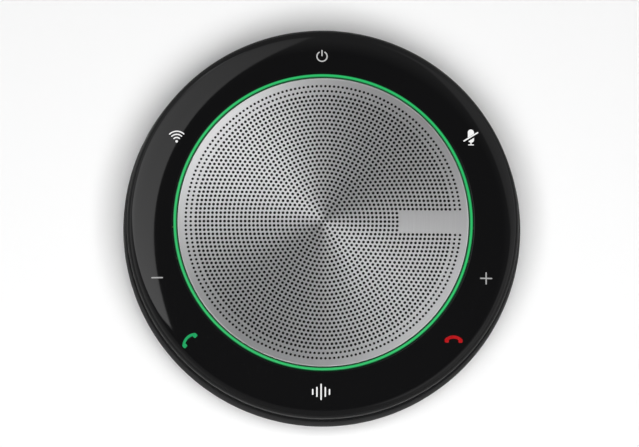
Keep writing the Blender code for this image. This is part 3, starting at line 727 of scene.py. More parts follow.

# %% [markdown]
# The last two rings have smaller holes and stand a little apart, which leaves more metal towards the plate's
# edge. The walls of the holes get a black of their own, a painted shade that makes each one read as a hole
# and not as a spot.

# %% Grille plate
HOLE_PITCH = 1.232 * MM
HOLE_RINGS = 31
EDGE_RINGS = 2
grille = grow("perforated_grille", perforated_plate, plate_inputs, {
    "Rings": HOLE_RINGS,
    "Edge rings": EDGE_RINGS,
    "Sides": 8,
    "Pitch": HOLE_PITCH,
    "Edge gap": 0.27 * MM,
    "Hole radius": 0.44 * MM,
    "Edge hole radius": 0.395 * MM,
    "Plate radius": GRILLE_R,
    "Thickness": GRILLE_THICK,
    "Rise": GRILLE_RISE,
    "Patch start": 22.7 * MM,
    "Patch half height": 3.3 * MM,
    "Material": grille_aluminium,
    "Hole material": hole_wall_shade,
})
grille.data.transform(Matrix.Translation((0, 0, GRILLE_TOP_Z - GRILLE_RISE - GRILLE_THICK)))


def round_plate_edge(obj, radius):
    """Rounds the plate's outer top edge."""
    shape = bmesh.new()
    shape.from_mesh(obj.data)
    edge_z = GRILLE_TOP_Z - GRILLE_RISE
    near = 0.01 * MM

    def on_rim(vertex):
        return vertex.co.xy.length > GRILLE_R - near and abs(vertex.co.z - edge_z) < near

    rim = [edge for edge in shape.edges if all(on_rim(vertex) for vertex in edge.verts)]
    bmesh.ops.bevel(shape, geom=rim, offset=radius, segments=3, profile=0.5, affect="EDGES")
    shape.to_mesh(obj.data)
    shape.free()


round_plate_edge(grille, 0.12 * MM)
round_shading(grille.data, 12)
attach(grille, "case")
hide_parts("grille")
print("grille:", len(grille.data.vertices), "points,", len(grille.data.polygons), "faces")

# %% [markdown]
# ## Lower housing
# A textured bowl. Its whole side is one arc, so it looks like a pebble, and a narrow groove inside
# its rim makes a shadow line under the fascia.


# %% Housing shape
WALL = 1.8 * MM
FLOOR_R = 48.7 * MM


def side_line(inset, top_z, low_z, steps):
    bend = SIDE_BEND_R - inset
    start = math.degrees(math.asin((top_z - SIDE_MID_Z) / bend))
    end = math.degrees(math.asin((low_z - SIDE_MID_Z) / bend))
    return arc(HOUSING_R - SIDE_BEND_R, SIDE_MID_Z, bend, start, end, steps)


def housing_profile():
    under = FLOOR_UNDER_Z
    seat_z = FOOT_TOP_Z + GAP
    foot_in, foot_out = FOOT_R[0] - GAP, FOOT_R[1] + GAP
    label_r = LABEL_R + 0.3 * MM
    label_z = under + 0.3 * MM
    chamfer = 0.1 * MM
    groove_z = RIM_Z - 0.9 * MM
    side = side_line(0.0, RIM_Z - 0.15 * MM, under + 0.9 * MM, 40)
    lip_r = side[0][0] - 0.1 * MM
    line = [(FASCIA_R - 0.4 * MM, groove_z), (lip_r - 0.05 * MM, groove_z)]
    line += [(lip_r, RIM_Z - 0.05 * MM), (lip_r + 0.03 * MM, RIM_Z)] + side
    line += [(FLOOR_R + 0.9 * MM, under + 0.3 * MM), (FLOOR_R + 0.4 * MM, under + 0.08 * MM)]
    line += [(FLOOR_R - 0.2 * MM, under), (foot_out + chamfer, under), (foot_out, under + chamfer)]
    line += [(foot_out, seat_z), (foot_in, seat_z), (foot_in, under + chamfer), (foot_in - chamfer, under)]
    line += [(label_r + chamfer, under), (label_r, under + chamfer), (label_r, label_z), (0.0, label_z)]
    line += [(0.0, under + WALL)] + side_line(WALL, RIM_Z, under + WALL, 12)[::-1]
    return line


def rods(places, radius, length, sides=32, tilt=None):
    """Closed cylinders in one mesh, each centred on its place, upright or along a matrix's Z."""
    mesh = bpy.data.meshes.new("rods")
    shape = bmesh.new()
    for place in places:
        spot = Matrix.Translation(place)
        bmesh.ops.create_cone(
            shape,
            cap_ends=True,
            segments=sides,
            radius1=radius,
            radius2=radius,
            depth=length,
            matrix=spot @ tilt(place) if tilt else spot,
        )
    shape.to_mesh(mesh)
    shape.free()
    return show("rods", mesh)


def outwards(place):
    """Turns a rod's Z to point away from the axis of the case."""
    return Vector((place.x, place.y, 0)).to_track_quat("Z", "Y").to_matrix().to_4x4()


def rounded_bar(width, height, length, corner, middle):
    """A bar along Y with a rounded rectangle as its section."""
    mesh = bpy.data.meshes.new("bar")
    shape = bmesh.new()
    half = (width / 2 - corner, height / 2 - corner)
    ring = []
    for sx, sz, start in ((1, 1, 0), (-1, 1, 90), (-1, -1, 180), (1, -1, 270)):
        for x, z in arc(sx * half[0], sz * half[1], corner, start, start + 90, 8):
            ring.append(shape.verts.new((x, -length / 2, z)))
    face = shape.faces.new(ring)
    pushed = bmesh.ops.extrude_face_region(shape, geom=[face])
    moved = [v for v in pushed["geom"] if isinstance(v, bmesh.types.BMVert)]
    bmesh.ops.translate(shape, verts=moved, vec=(0, length, 0))
    bmesh.ops.recalc_face_normals(shape, faces=shape.faces[:])
    bmesh.ops.translate(shape, verts=shape.verts[:], vec=middle)
    shape.to_mesh(mesh)
    shape.free()
    return show("bar", mesh)


# %% [markdown]
# Screw wells, the socket's opening and six microphone holes are cut out of the turned shell by
# booleans, as a mould's cores would leave them. Their places are the middles of the parts behind them,
# so each hole lines up with what needs it.


# %% Housing with its openings
def middles(kind, count):
    """The middles of numbered nodes."""
    boxes = [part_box(f"{kind}_{i}") for i in range(1, count + 1)]
    return [(low + high) / 2 for low, high in boxes]


CASE_SCREWS = middles("case_screw", 4)
MICROPHONES = middles("microphone", 6)
WELL_R = 2.9 * MM
WELL_WALL_R = 4.2 * MM
PORT_WIDTH, PORT_HEIGHT, PORT_CORNER = 12.8 * MM, 7 * MM, 2.4 * MM
MIC_HOLE_R = 0.6 * MM
socket_low, socket_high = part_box("usb_c_receptacle")
PORT_MIDDLE = Vector((0, 58.5 * MM, (socket_low.z + socket_high.z) / 2))

housing = turned("housing_shell", housing_profile())
wells = [Vector((p.x, p.y, FLOOR_UNDER_Z)) for p in CASE_SCREWS]
well_walls = [p + Vector((0, 0, 1.6 * MM)) for p in wells]
boolean(housing, rods(well_walls, WELL_WALL_R, 2.8 * MM, 48), "UNION")
boolean(housing, rods(wells, WELL_R, 4.4 * MM, 48), "DIFFERENCE")
port = rounded_bar(PORT_WIDTH, PORT_HEIGHT, 12 * MM, PORT_CORNER, PORT_MIDDLE)
boolean(housing, port, "DIFFERENCE")
holes = [polar(59 * MM, math.degrees(math.atan2(p.y, p.x)), p.z) for p in MICROPHONES]
boolean(housing, rods(holes, MIC_HOLE_R, 8 * MM, 24, outwards), "DIFFERENCE")
round_shading(housing.data)
satin_black = moulded("satin_black", (0.014, 0.014, 0.0145), 0.52, grains=5.0)
satin_black.node_tree.nodes["Principled BSDF"].inputs["Specular IOR Level"].default_value = 0.3
housing.data.materials.append(satin_black)
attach(housing, "case")
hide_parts("lower_housing")
print("housing:", len(housing.data.polygons), "faces,", len(holes), "microphone holes")

# %% [markdown]
# ## Rubber foot
# A ring of soft rubber with rounded shoulders and three shallow grooves keeps the case from sliding.


# %% Foot shape
def foot_profile():
    inner, outer = FOOT_R
    ease = 0.5 * MM
    line = [(inner, FOOT_TOP_Z), (inner, ease)] + arc(inner + ease, ease, ease, 180, 270, 4)[1:]
    mouth, bed, depth = 0.25 * MM, 0.12 * MM, 0.2 * MM
    for i in range(1, 4):
        middle = inner + (outer - inner) * i / 4
        line += [(middle - mouth, 0.0), (middle - bed, depth), (middle + bed, depth), (middle + mouth, 0.0)]
    line += arc(outer - ease, ease, ease, 270, 360, 4) + [(outer, FOOT_TOP_Z)]
    return line


rubber = moulded("rubber", (0.018, 0.018, 0.018), 0.75, grains=3.0, depth=0.01 * MM)
foot = turned("grooved_foot", foot_profile())
foot.data.materials.append(rubber)
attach(foot, "case")
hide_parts("rubber_foot")
print("foot:", len(foot.data.polygons), "faces")

# %% [markdown]
# ## Key symbols
# Each key is only a symbol in the fascia, printed in translucent ink and lit from below. A symbol is
# made as an upright solid, and then only what it shares with a very thin skin of the fascia is kept:
# that way it follows the curved gloss exactly, and stands a hair proud of it.


# %% Flat outlines for the symbols, in millimetres
def stroke(points, width, steps=8):
    """Outline of a line of even width with round ends through points in millimetres."""
    left, right = [], []
    for i, here in enumerate(points):
        before = points[max(i - 1, 0)]
        after = points[min(i + 1, len(points) - 1)]
        along = (Vector(after) - Vector(before)).normalized()
        side = Vector((-along.y, along.x)) * width / 2
        left.append(Vector(here) + side)
        right.append(Vector(here) - side)
    ends = []
    for point, other in ((points[-1], points[-2]), (points[0], points[1])):
        heading = math.atan2(point[1] - other[1], point[0] - other[0])
        cap = []
        for k in range(1, steps):
            angle = heading + math.pi / 2 - math.pi * k / steps
            cap.append(Vector(point) + Vector((math.cos(angle), math.sin(angle))) * width / 2)
        ends.append(cap)
    return left + ends[0] + right[::-1] + ends[1]


def curve_points(centre, radius, start, end, steps=24):
    return arc(centre[0], centre[1], radius, start, end, steps)


def box_outline(x0, y0, x1, y1):
    return [(x0, y0), (x1, y0), (x1, y1), (x0, y1)]


PRISM_HEIGHT = 8 * MM
PRISM_SUNK = 5 * MM


def prism(outlines, middle, turn=0.0, name="prism"):
    """Upright solids from outlines in millimetres, standing through the fascia at a middle."""
    shape = bmesh.new()
    for outline in outlines:
        base = shape.faces.new([shape.verts.new((p[0] * MM, p[1] * MM, 0.0)) for p in outline])
        pushed = bmesh.ops.extrude_face_region(shape, geom=[base])
        moved = [v for v in pushed["geom"] if isinstance(v, bmesh.types.BMVert)]
        bmesh.ops.translate(shape, verts=moved, vec=(0, 0, PRISM_HEIGHT))
    bmesh.ops.recalc_face_normals(shape, faces=shape.faces[:])
    bmesh.ops.rotate(shape, verts=shape.verts[:], cent=(0, 0, 0), matrix=Matrix.Rotation(turn, 3, "Z"))
    bmesh.ops.translate(shape, verts=shape.verts[:], vec=middle)
    mesh = bpy.data.meshes.new(name)
    shape.to_mesh(mesh)
    shape.free()
    return show(name, mesh)


def skin_piece(angle, half_width=9, steps=24):
    """A closed piece of skin on the fascia, a sector of a turned shape round an angle in degrees."""
    proud, sunk = 0.02 * MM, -0.03 * MM
    inner = RING_OUTER_R + 1.2 * MM
    line = fascia_top(proud, inner, 24, 3) + fascia_top(sunk, inner, 24, 3)[::-1]
    shape = bmesh.new()
    section = shape.faces.new([shape.verts.new((r, 0.0, z)) for r, z in line])
    start = Matrix.Rotation(math.radians(angle - half_width), 3, "Z")
    bmesh.ops.rotate(shape, verts=shape.verts[:], cent=(0, 0, 0), matrix=start)
    bmesh.ops.spin(
        shape,
        geom=section.verts[:] + section.edges[:] + [section],
        cent=(0, 0, 0),
        axis=(0, 0, 1),
        angle=math.radians(2 * half_width),
        steps=steps,
    )
    bmesh.ops.recalc_face_normals(shape, faces=shape.faces[:])
    mesh = bpy.data.meshes.new("skin")
    shape.to_mesh(mesh)
    shape.free()
    return show("skin", mesh)


def inlay(name, key, outlines, finish, turn=0.0, gap=None, added=None):
    """A symbol that follows the fascia. gap is cut out of its outlines, and then added joins them."""
    angle, radius = KEYS[key]
    middle = polar(radius * MM, angle, FASCIA_TOP_Z - PRISM_SUNK)
    symbol = prism(outlines, middle, math.radians(turn), name)
    if gap:
        boolean(symbol, prism(gap, middle), "DIFFERENCE")
        boolean(symbol, prism(added, middle), "UNION")
    boolean(symbol, skin_piece(angle), "INTERSECT")
    round_shading(symbol.data)
    symbol.data.materials.clear()
    symbol.data.materials.append(finish)
    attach(symbol, "case")
    print(name, len(symbol.data.polygons), "faces")
    return symbol


# %% [markdown]
# The eight keys are spread round the fascia and stay upright for someone who looks from the front. Only
# the handset of the answer key is turned. A polar place, an angle and a radius, suits a round object.

# %% Where the keys lie: angle in degrees and radius in millimetres
KEYS = {
    "power": (90.4, 50.4),
    "wireless": (149.6, 51.0),
    "mute": (30.2, 51.4),
    "volume_down": (198.9, 52.5),
    "volume_up": (-19.1, 51.65),
    "answer": (221.3, 53.65),
    "end_call": (-41.9, 52.4),
    "assistant": (269.3, 51.25),
}


# %% [markdown]
# The ink is thin and translucent, and the light guide under it makes it glow. So its colour is
# emission, and the ink's own colour is only a tenth of it. Grain from the printing screen dims it in
# fine specks.


# %% Symbol inks: lit from below, with the fine speckle of screen printing
def ink(name, colour):
    made, shader = new_material(name, [c * 0.1 for c in colour], 0.3)
    grain = use_group(made, mould_grain, Grains_per_mm=8.0)
    tree = made.node_tree
    glow = tree.nodes.new("ShaderNodeMix")
    glow.data_type = "RGBA"
    glow.inputs["A"].default_value = (*[c * 0.92 for c in colour], 1.0)
    glow.inputs["B"].default_value = (*colour, 1.0)
    tree.links.new(grain.outputs["Tone"], glow.inputs["Factor"])
    tree.links.new(glow.outputs["Result"], shader.inputs["Emission Color"])
    shader.inputs["Emission Strength"].default_value = 1.0
    return made


ink_white = ink("ink_white", (0.86, 0.86, 0.86))
ink_pale = ink("ink_pale", (0.5, 0.5, 0.5))
ink_grey = ink("ink_grey", (0.36, 0.36, 0.36))
ink_green = ink("ink_green", (0.002, 0.33, 0.098))
ink_red = ink("ink_red", (0.41, 0.001, 0.003))


# %% [markdown]
# Each symbol is drawn from strokes of even width with round ends, as sign painters and icon makers
# draw them. Power is an arc that leaves a gap for its bar.


# %% Power: an open circle and a bar
def power_outlines():
    ring = stroke(curve_points((0, -0.05), 1.53, 124, 416, 40), 0.36)
    bar = stroke([(0, 0.2), (0, 1.8)], 0.38)
    return [ring, bar]


inlay("symbol_power", "power", power_outlines(), ink_pale)


# %% [markdown]
# The sign for a radio link: three arcs share the middle of the dot below them.


# %% Wireless: three radio arcs over a dot
def wireless_outlines():
    arcs = [stroke(curve_points((0, -1.55), radius, 47, 133), 0.36) for radius in (1.2, 2.15, 3.1)]
    return arcs + [curve_points((0, -1.55), 0.38, 0, 345, 23)]


inlay("symbol_wireless", "wireless", wireless_outlines(), ink_white)

# %% [markdown]
# Mute needs a cut. A wide stroke is taken out of the microphone first, and the thin slash is laid along
# the upper side of that gap, so that a dark line under it sets the two apart.

# %% Mute: a microphone struck through
MUTE_SLASH = [(-2.1, -1.15), (2.05, 1.5)]


def mute_outlines():
    body = stroke([(0, -0.7), (0, 1.5)], 1.86, 14)
    stem = box_outline(-0.15, -2.3, 0.15, -1.0)
    base = stroke([(-0.72, -2.3), (0.72, -2.3)], 0.3)
    return [body, stem, base]


mute_gap = stroke([(x, y - 0.3) for x, y in MUTE_SLASH], 1.02)
inlay("symbol_mute", "mute", mute_outlines(), ink_white,
      gap=[mute_gap], added=[stroke(MUTE_SLASH, 0.4)])

# %% [markdown]
# One bar lowers the sound and two crossed bars raise it. Their ink is the dimmest of all.

# %% Volume down and up
minus = [stroke([(-1.55, 0), (1.55, 0)], 0.4)]
plus = [stroke([(-1.65, 0), (1.65, 0)], 0.4), stroke([(0, -1.65), (0, 1.65)], 0.4)]
inlay("symbol_volume_down", "volume_down", minus, ink_grey)
inlay("symbol_volume_up", "volume_up", plus, ink_grey)

# %% [markdown]
# One outline serves both call keys: an arch between two pads. It is turned by an eighth for a lifted
# handset and lies flat for one that is put down.


# %% Answer and end call: the same handset, lifted or laid down
def handset_outlines(thick, half_width):
    """A shallow arch over two square pads. thick is the arch's thickness in the middle."""
    rise, shoulder, foot = 0.85, -0.3, -1.3
    pad, chamfer = 1.25, 0.2
    inside = half_width - pad

    def bow(half, low, high):
        radius = (half ** 2 + (high - low) ** 2) / (2 * (high - low))
        reach = math.degrees(math.asin(half / radius))
        return arc(0.0, high - radius, radius, 90 + reach, 90 - reach, 16)

    right_pad = [(half_width, foot + chamfer), (half_width - chamfer, foot)]
    right_pad += [(inside + chamfer, foot), (inside, foot + chamfer)]
    left_pad = [(-x, y) for x, y in reversed(right_pad)]
    under = bow(inside, rise - thick - 0.4, rise - thick)
    return [bow(half_width, shoulder, rise) + right_pad + under[::-1] + left_pad]


inlay("symbol_answer", "answer", handset_outlines(0.8, 2.75), ink_green, turn=45.0)
inlay("symbol_end_call", "end_call", handset_outlines(0.95, 2.68), ink_red)


# %% [markdown]
# Five bars of three heights stand for a voice. Their round ends count towards the heights.


# %% Assistant: five sound bars
BAR_HEIGHTS = (1.8, 3.0, 4.85, 3.0, 1.8)
BAR_WIDTH = 0.42
BAR_PITCH = 1.25


def bar_outlines():
    outlines = []
    for i, height in enumerate(BAR_HEIGHTS):
        x = (i - 2) * BAR_PITCH
        end = (height - BAR_WIDTH) / 2
        outlines.append(stroke([(x, -end), (x, end)], BAR_WIDTH))
    return outlines


inlay("symbol_assistant", "assistant", bar_outlines(), ink_white)


# %% [markdown]
# ## Finishes of the inner parts
# The parts inside keep their solids. Each still gets the finish of its real material, so that the
# object looks right when it is opened or shown apart.


# %% Cloth under the grille
def make_woven(name, colour, threads_per_mm=5.0, depth=0.03 * MM):
    """Plain weave: two crossing sets of threads, from waves along X and Y."""
    made, shader = new_material(name, colour, 0.95)
    tree = made.node_tree
    split = split_axes(tree, object_place(tree))
    turns = threads_per_mm * 1000.0 * math.pi
    warp = math_node(tree, "SINE", math_node(tree, "MULTIPLY", split["X"], turns))
    weft = math_node(tree, "SINE", math_node(tree, "MULTIPLY", split["Y"], turns))
    crossed = math_node(tree, "MULTIPLY", warp, weft)
    over = math_node(tree, "ADD", math_node(tree, "MULTIPLY", crossed, 0.5), 0.5)
    tint(made, shader, over, [c * 0.6 for c in colour], [min(c * 1.5, 1) for c in colour])
    relief(made, shader, over, depth)
    shader.inputs["Sheen Weight"].default_value = 0.2
    return made


def finish_nodes(names, material):
    for name in names:
        obj = nodes[name]
        obj.data.materials.clear()
        obj.data.materials.append(material)
    print(material.name, "on", ", ".join(names))


finish_nodes(["grille_cloth"], make_woven("grille_cloth", (0.006, 0.006, 0.006)))
spider_cloth = make_woven("spider_cloth", (0.42, 0.2, 0.05), 2.5, 0.05 * MM)

# %% [markdown]
# Mouldings differ in colour, gloss and grain. Foam and paper have a coarser, deeper grain, so one helper
# makes them all with other numbers.

# %% Plastics, rubber and foam
finish_nodes(["upper_frame", "speaker_chamber"],
             moulded("inner_black", (0.03, 0.03, 0.03), 0.55, grains=3.0))
finish_nodes(["microphone_gasket"], rubber)
finish_nodes(["chamber_gasket", "driver_gasket"],
             moulded("foam_grey", (0.07, 0.07, 0.075), 0.9, grains=1.6, depth=0.08 * MM, spread=0.45))
finish_nodes(["battery_connector"], moulded("ivory", (0.72, 0.68, 0.57), 0.45))
finish_nodes(["driver_cone", "driver_dust_cap"],
             moulded("cone_paper", (0.03, 0.03, 0.031), 0.85, grains=1.2, depth=0.06 * MM, spread=0.4))
finish_nodes(["rating_label"], moulded("label_grey", (0.22, 0.22, 0.225), 0.4, grains=7.0, spread=0.1))
finish_nodes(["battery_lead_red", "speaker_lead_red"],
             moulded("wire_red", (0.5, 0.015, 0.012), 0.35, grains=2.0))
finish_nodes(["battery_lead_black", "speaker_lead_black"],
             moulded("wire_black", (0.015, 0.015, 0.015), 0.35))

# %% [markdown]
# Turned, rolled and plated metals share fine lines. Soft plating has few and faint ones.

# %% Metals
finish_nodes(["motor_yoke", "motor_top_plate"], metal("plated_steel", (0.58, 0.57, 0.52), 0.3))
finish_nodes(["usb_c_receptacle"], metal("socket_steel", (0.5, 0.5, 0.5), 0.28, lines=3.0))
finish_nodes(["motor_magnet"], metal("nickel", (0.7, 0.67, 0.6), 0.16, lines=2.0, spread=0.05))
finish_nodes(["processor_shield", "radio_shield"],
             metal("tin", (0.62, 0.62, 0.63), 0.33, lines=1.5, spread=0.08))
finish_nodes([f"microphone_{i}" for i in range(1, 7)],
             metal("mic_brass", (0.78, 0.6, 0.26), 0.25, lines=2.0))


# %% [markdown]
# Some parts need a pattern of their own: wire in tight turns, film with tracks, a circuit board, the
# battery's laminate and the clear light guides.

# %% Things that are neither
WIRE_TURNS_PER_M = 6500.0


def make_copper_winding():
    """Enamelled wire in tight turns, one above the other."""
    made, shader = new_material("copper", (0.72, 0.28, 0.12), 0.25, 1.0)
    tree = made.node_tree
    height = split_axes(tree, object_place(tree))["Z"]
    wave = math_node(tree, "SINE", math_node(tree, "MULTIPLY", height, math.pi * WIRE_TURNS_PER_M))
    turns = math_node(tree, "ABSOLUTE", wave)
    # Painted shade: the colour darkens in the grooves between turns, where shade falls.
    tint(made, shader, turns, (0.3, 0.08, 0.03), (0.85, 0.38, 0.16))
    relief(made, shader, turns, 0.05 * MM)
    return made


def make_amber_film():
    """Polyimide film with copper tracks that show through as darker lines."""
    made, shader = new_material("amber_film", (0.5, 0.2, 0.02), 0.3)
    tree = made.node_tree
    place = object_place(tree)
    wave = tree.nodes.new("ShaderNodeTexWave")
    wave.inputs["Scale"].default_value = 260.0
    wave.inputs["Distortion"].default_value = 0.0
    wave.bands_direction = "Z"
    tree.links.new(place, wave.inputs["Vector"])
    tint(made, shader, wave.outputs["Fac"], (0.34, 0.11, 0.012), (0.6, 0.27, 0.03))
    return made


def make_board(name, mask_colour, track_colour, pad_colour):
    """Circuit board: solder mask, lighter where copper lies under it, with plated pads."""
    made, shader = new_material(name, mask_colour, 0.35)
    tree = made.node_tree
    place = object_place(tree)
    bricks = tree.nodes.new("ShaderNodeTexBrick")
    bricks.inputs["Scale"].default_value = 300.0
    bricks.inputs["Mortar Size"].default_value = 0.06
    bricks.inputs["Mortar Smooth"].default_value = 0.0
    bricks.inputs["Color1"].default_value = (*mask_colour, 1.0)
    bricks.inputs["Color2"].default_value = (*[c * 0.8 for c in mask_colour], 1.0)
    bricks.inputs["Mortar"].default_value = (*track_colour, 1.0)
    tree.links.new(place, bricks.inputs["Vector"])
    dots = tree.nodes.new("ShaderNodeTexVoronoi")
    dots.inputs["Scale"].default_value = 330.0
    dots.inputs["Randomness"].default_value = 0.85
    tree.links.new(place, dots.inputs["Vector"])
    pads = math_node(tree, "LESS_THAN", dots.outputs["Distance"], 0.16)
    mix = tree.nodes.new("ShaderNodeMix")
    mix.data_type = "RGBA"
    mix.inputs["B"].default_value = (*pad_colour, 1.0)
    tree.links.new(pads, mix.inputs["Factor"])
    tree.links.new(bricks.outputs["Color"], mix.inputs["A"])
    tree.links.new(mix.outputs["Result"], shader.inputs["Base Color"])
    tree.links.new(math_node(tree, "MULTIPLY", pads, 0.9), shader.inputs["Metallic"])
    return made


def make_pouch():
    """Aluminium laminate with a soft crinkle."""
    made, shader = new_material("pouch_silver", (0.55, 0.56, 0.58), 0.35, 0.85)
    film = use_group(made, handling_film, Smear_size_mm=5.0)
    tint(made, shader, film.outputs["Smear"], (0.42, 0.43, 0.45), (0.66, 0.67, 0.69))
    relief(made, shader, film.outputs["Smear"], 0.12 * MM)
    return made


def make_clear_plastic():
    made, shader = new_material("clear_plastic", (0.85, 0.87, 0.87), 0.22)
    grain = use_group(made, mould_grain, Grains_per_mm=2.0)
    tint(made, shader, grain.outputs["Tone"], (0.78, 0.8, 0.8), (0.9, 0.92, 0.92))
    relief(made, shader, grain.outputs["Height"], 0.01 * MM)
    shader.inputs["Transmission Weight"].default_value = 0.5
    return made


finish_nodes(["driver_basket"], moulded("black_steel", (0.02, 0.02, 0.02), 0.35, grains=2.0))
finish_nodes(["voice_coil_winding"], make_copper_winding())
finish_nodes(["touch_flex", "microphone_flex", "voice_coil_former"], make_amber_film())
finish_nodes(["main_board"],
             make_board("board_green", (0.012, 0.14, 0.05), (0.03, 0.24, 0.09), (0.75, 0.6, 0.25)))
finish_nodes(["touch_board"],
             make_board("board_black", (0.01, 0.012, 0.012), (0.03, 0.034, 0.034), (0.7, 0.56, 0.25)))
finish_nodes(["battery_pack"], make_pouch())
finish_nodes([f"light_guide_{key}" for key in KEYS], make_clear_plastic())
screws = [f"{kind}_{i}" for kind, count in (("case_screw", 4), ("driver_screw", 4), ("board_screw", 3))
          for i in range(1, count + 1)]
finish_nodes(screws, metal("screw_steel", (0.12, 0.12, 0.125), 0.35, lines=8.0))
print("inner parts finished:", sum(1 for o in nodes.values() if o.data.materials))

# %% [markdown]
# ## Surround and spider
# Two soft rings hold the loudspeaker's cone. The surround is a half roll of moulded rubber. The spider
# is a disc of cloth, stiffened with resin and pressed into round corrugations. The outer edge of each
# is glued to the basket and its inner edge travels with the cone, so every point takes a share of the
# travel. The share grows smoothly from the outside in, as the real sheet rolls and unfolds.


# %% Bending between the basket and the cone
def flex(piece, fixed_r, moving_r):
    """Lets a ring bend between the case, from fixed_r outwards, and the cone, from moving_r inwards."""
    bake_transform(piece, "case", "cone", start=(0, 0, 0), end=(0, 0, 1))
    shares = piece.data.attributes["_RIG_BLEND"].data
    for vertex, share in zip(piece.data.vertices, shares):
        along = (fixed_r - vertex.co.xy.length) / (fixed_r - moving_r)
        along = min(max(along, 0.0), 1.0)
        share.value = along * along * (3 - 2 * along)


# %% [markdown]
# The rubber sheet lies on the cone's edge, rises in a half circle and comes down on the basket's flange.
# The half circle rolls as the cone moves, and the sheet hardly stretches.

# %% Surround
SHEET = 0.45 * MM
EDGE = 0.08 * MM
cone_edge_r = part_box("driver_cone")[1].x
surround_low, surround_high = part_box("driver_surround")
glued_r = 27.6 * MM


def surround_profile():
    land_z = surround_low.z
    seat_z = land_z + 0.1 * MM
    inner_r = cone_edge_r - 1.7 * MM
    outer_r = surround_high.x
    roll = (glued_r - cone_edge_r) / 2 - 0.2 * MM
    middle = glued_r - roll
    line = [(inner_r, seat_z + SHEET - EDGE), (inner_r + EDGE, seat_z + SHEET)]
    line += arc(middle, seat_z + SHEET, roll + SHEET, 180, 0, 30)
    line += [(outer_r - EDGE, land_z + SHEET), (outer_r, land_z + SHEET - EDGE), (outer_r, land_z + EDGE)]
    line += [(outer_r - EDGE, land_z)]
    line += arc(middle, seat_z, roll, 0, 180, 30)
    line += [(inner_r + EDGE, seat_z), (inner_r, seat_z + EDGE)]
    return line


surround = turned("rubber_surround", surround_profile(), around=128)
surround.data.materials.append(rubber)
flex(surround, glued_r, cone_edge_r)
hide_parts("driver_surround")
print("surround:", len(surround.data.polygons), "faces")

# %% [markdown]
# A cosine makes the corrugations. It starts and ends level, so it runs straight into the flat lands.

# %% Spider
SPIDER_WAVES = 4
SPIDER_STEPS = 64
WAVE_HEIGHT = 0.45 * MM
CLOTH = 0.3 * MM
spider_low, spider_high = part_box("driver_spider")
neck_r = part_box("voice_coil_former")[1].x + 0.15 * MM
land_r = spider_high.x - 1.6 * MM


def spider_profile():
    under = []
    for i in range(SPIDER_STEPS + 1):
        along = i / SPIDER_STEPS
        lift = (1 - math.cos(math.tau * SPIDER_WAVES * along)) / 2 * WAVE_HEIGHT
        under.append((neck_r + (land_r - neck_r) * along, spider_low.z + lift))
    under.append((spider_high.x, spider_low.z))
    return under + [(r, z + CLOTH) for r, z in reversed(under)]


spider = turned("cloth_spider", spider_profile(), around=96, sharp=60)
spider.data.materials.append(spider_cloth)
flex(spider, land_r, neck_r + 0.6 * MM)
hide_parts("driver_spider")
print("spider:", len(spider.data.polygons), "faces,", SPIDER_WAVES, "corrugations")

# %% [markdown]
# ## Camera, floor and light
# The camera looks almost straight down through a long lens. The floor is plain and white. The gloss
# fascia mirrors whatever stands over it, so the lamps are placed for their reflections first: a panel
# on the left draws the grey crescent, three more draw the side gleams, and one shines on the
# grille alone. The lamp that lights the floor and gives the soft shadow isn't mirrored at all.

# %% Camera
VIEW_TILT = math.radians(8.5)
VIEW_TURN = math.radians(10.0)
VIEW_DISTANCE = 1.6
VIEW_WIDTH = 193.2 * MM
VIEW_RIGHT = -0.73 * MM
VIEW_UP = 1.64 * MM
toward = Vector((-math.sin(VIEW_TILT) * math.sin(VIEW_TURN), -math.sin(VIEW_TILT) * math.cos(VIEW_TURN),
                 math.cos(VIEW_TILT)))
right = Vector((0, 1, 0)).cross(toward).normalized()
up = toward.cross(right)
target = Vector((0, 0, SIDE_MID_Z)) + right * VIEW_RIGHT + up * VIEW_UP
camera_data = bpy.data.cameras.new("camera")
camera_data.lens = camera_data.sensor_width * VIEW_DISTANCE / VIEW_WIDTH
camera_data.clip_end = 20.0
camera = bpy.data.objects.new("camera", camera_data)
bpy.context.scene.collection.objects.link(camera)
camera.matrix_world = Matrix.Translation(target + toward * VIEW_DISTANCE) @ Matrix(
    (right, up, toward)).transposed().to_4x4()
bpy.context.scene.camera = camera
print("lens:", round(camera_data.lens), "mm")


# %% [markdown]
# A plain sheet lies under the object. Light Path tells it what is looking, so that it can be white to the
# camera and grey to a mirror.


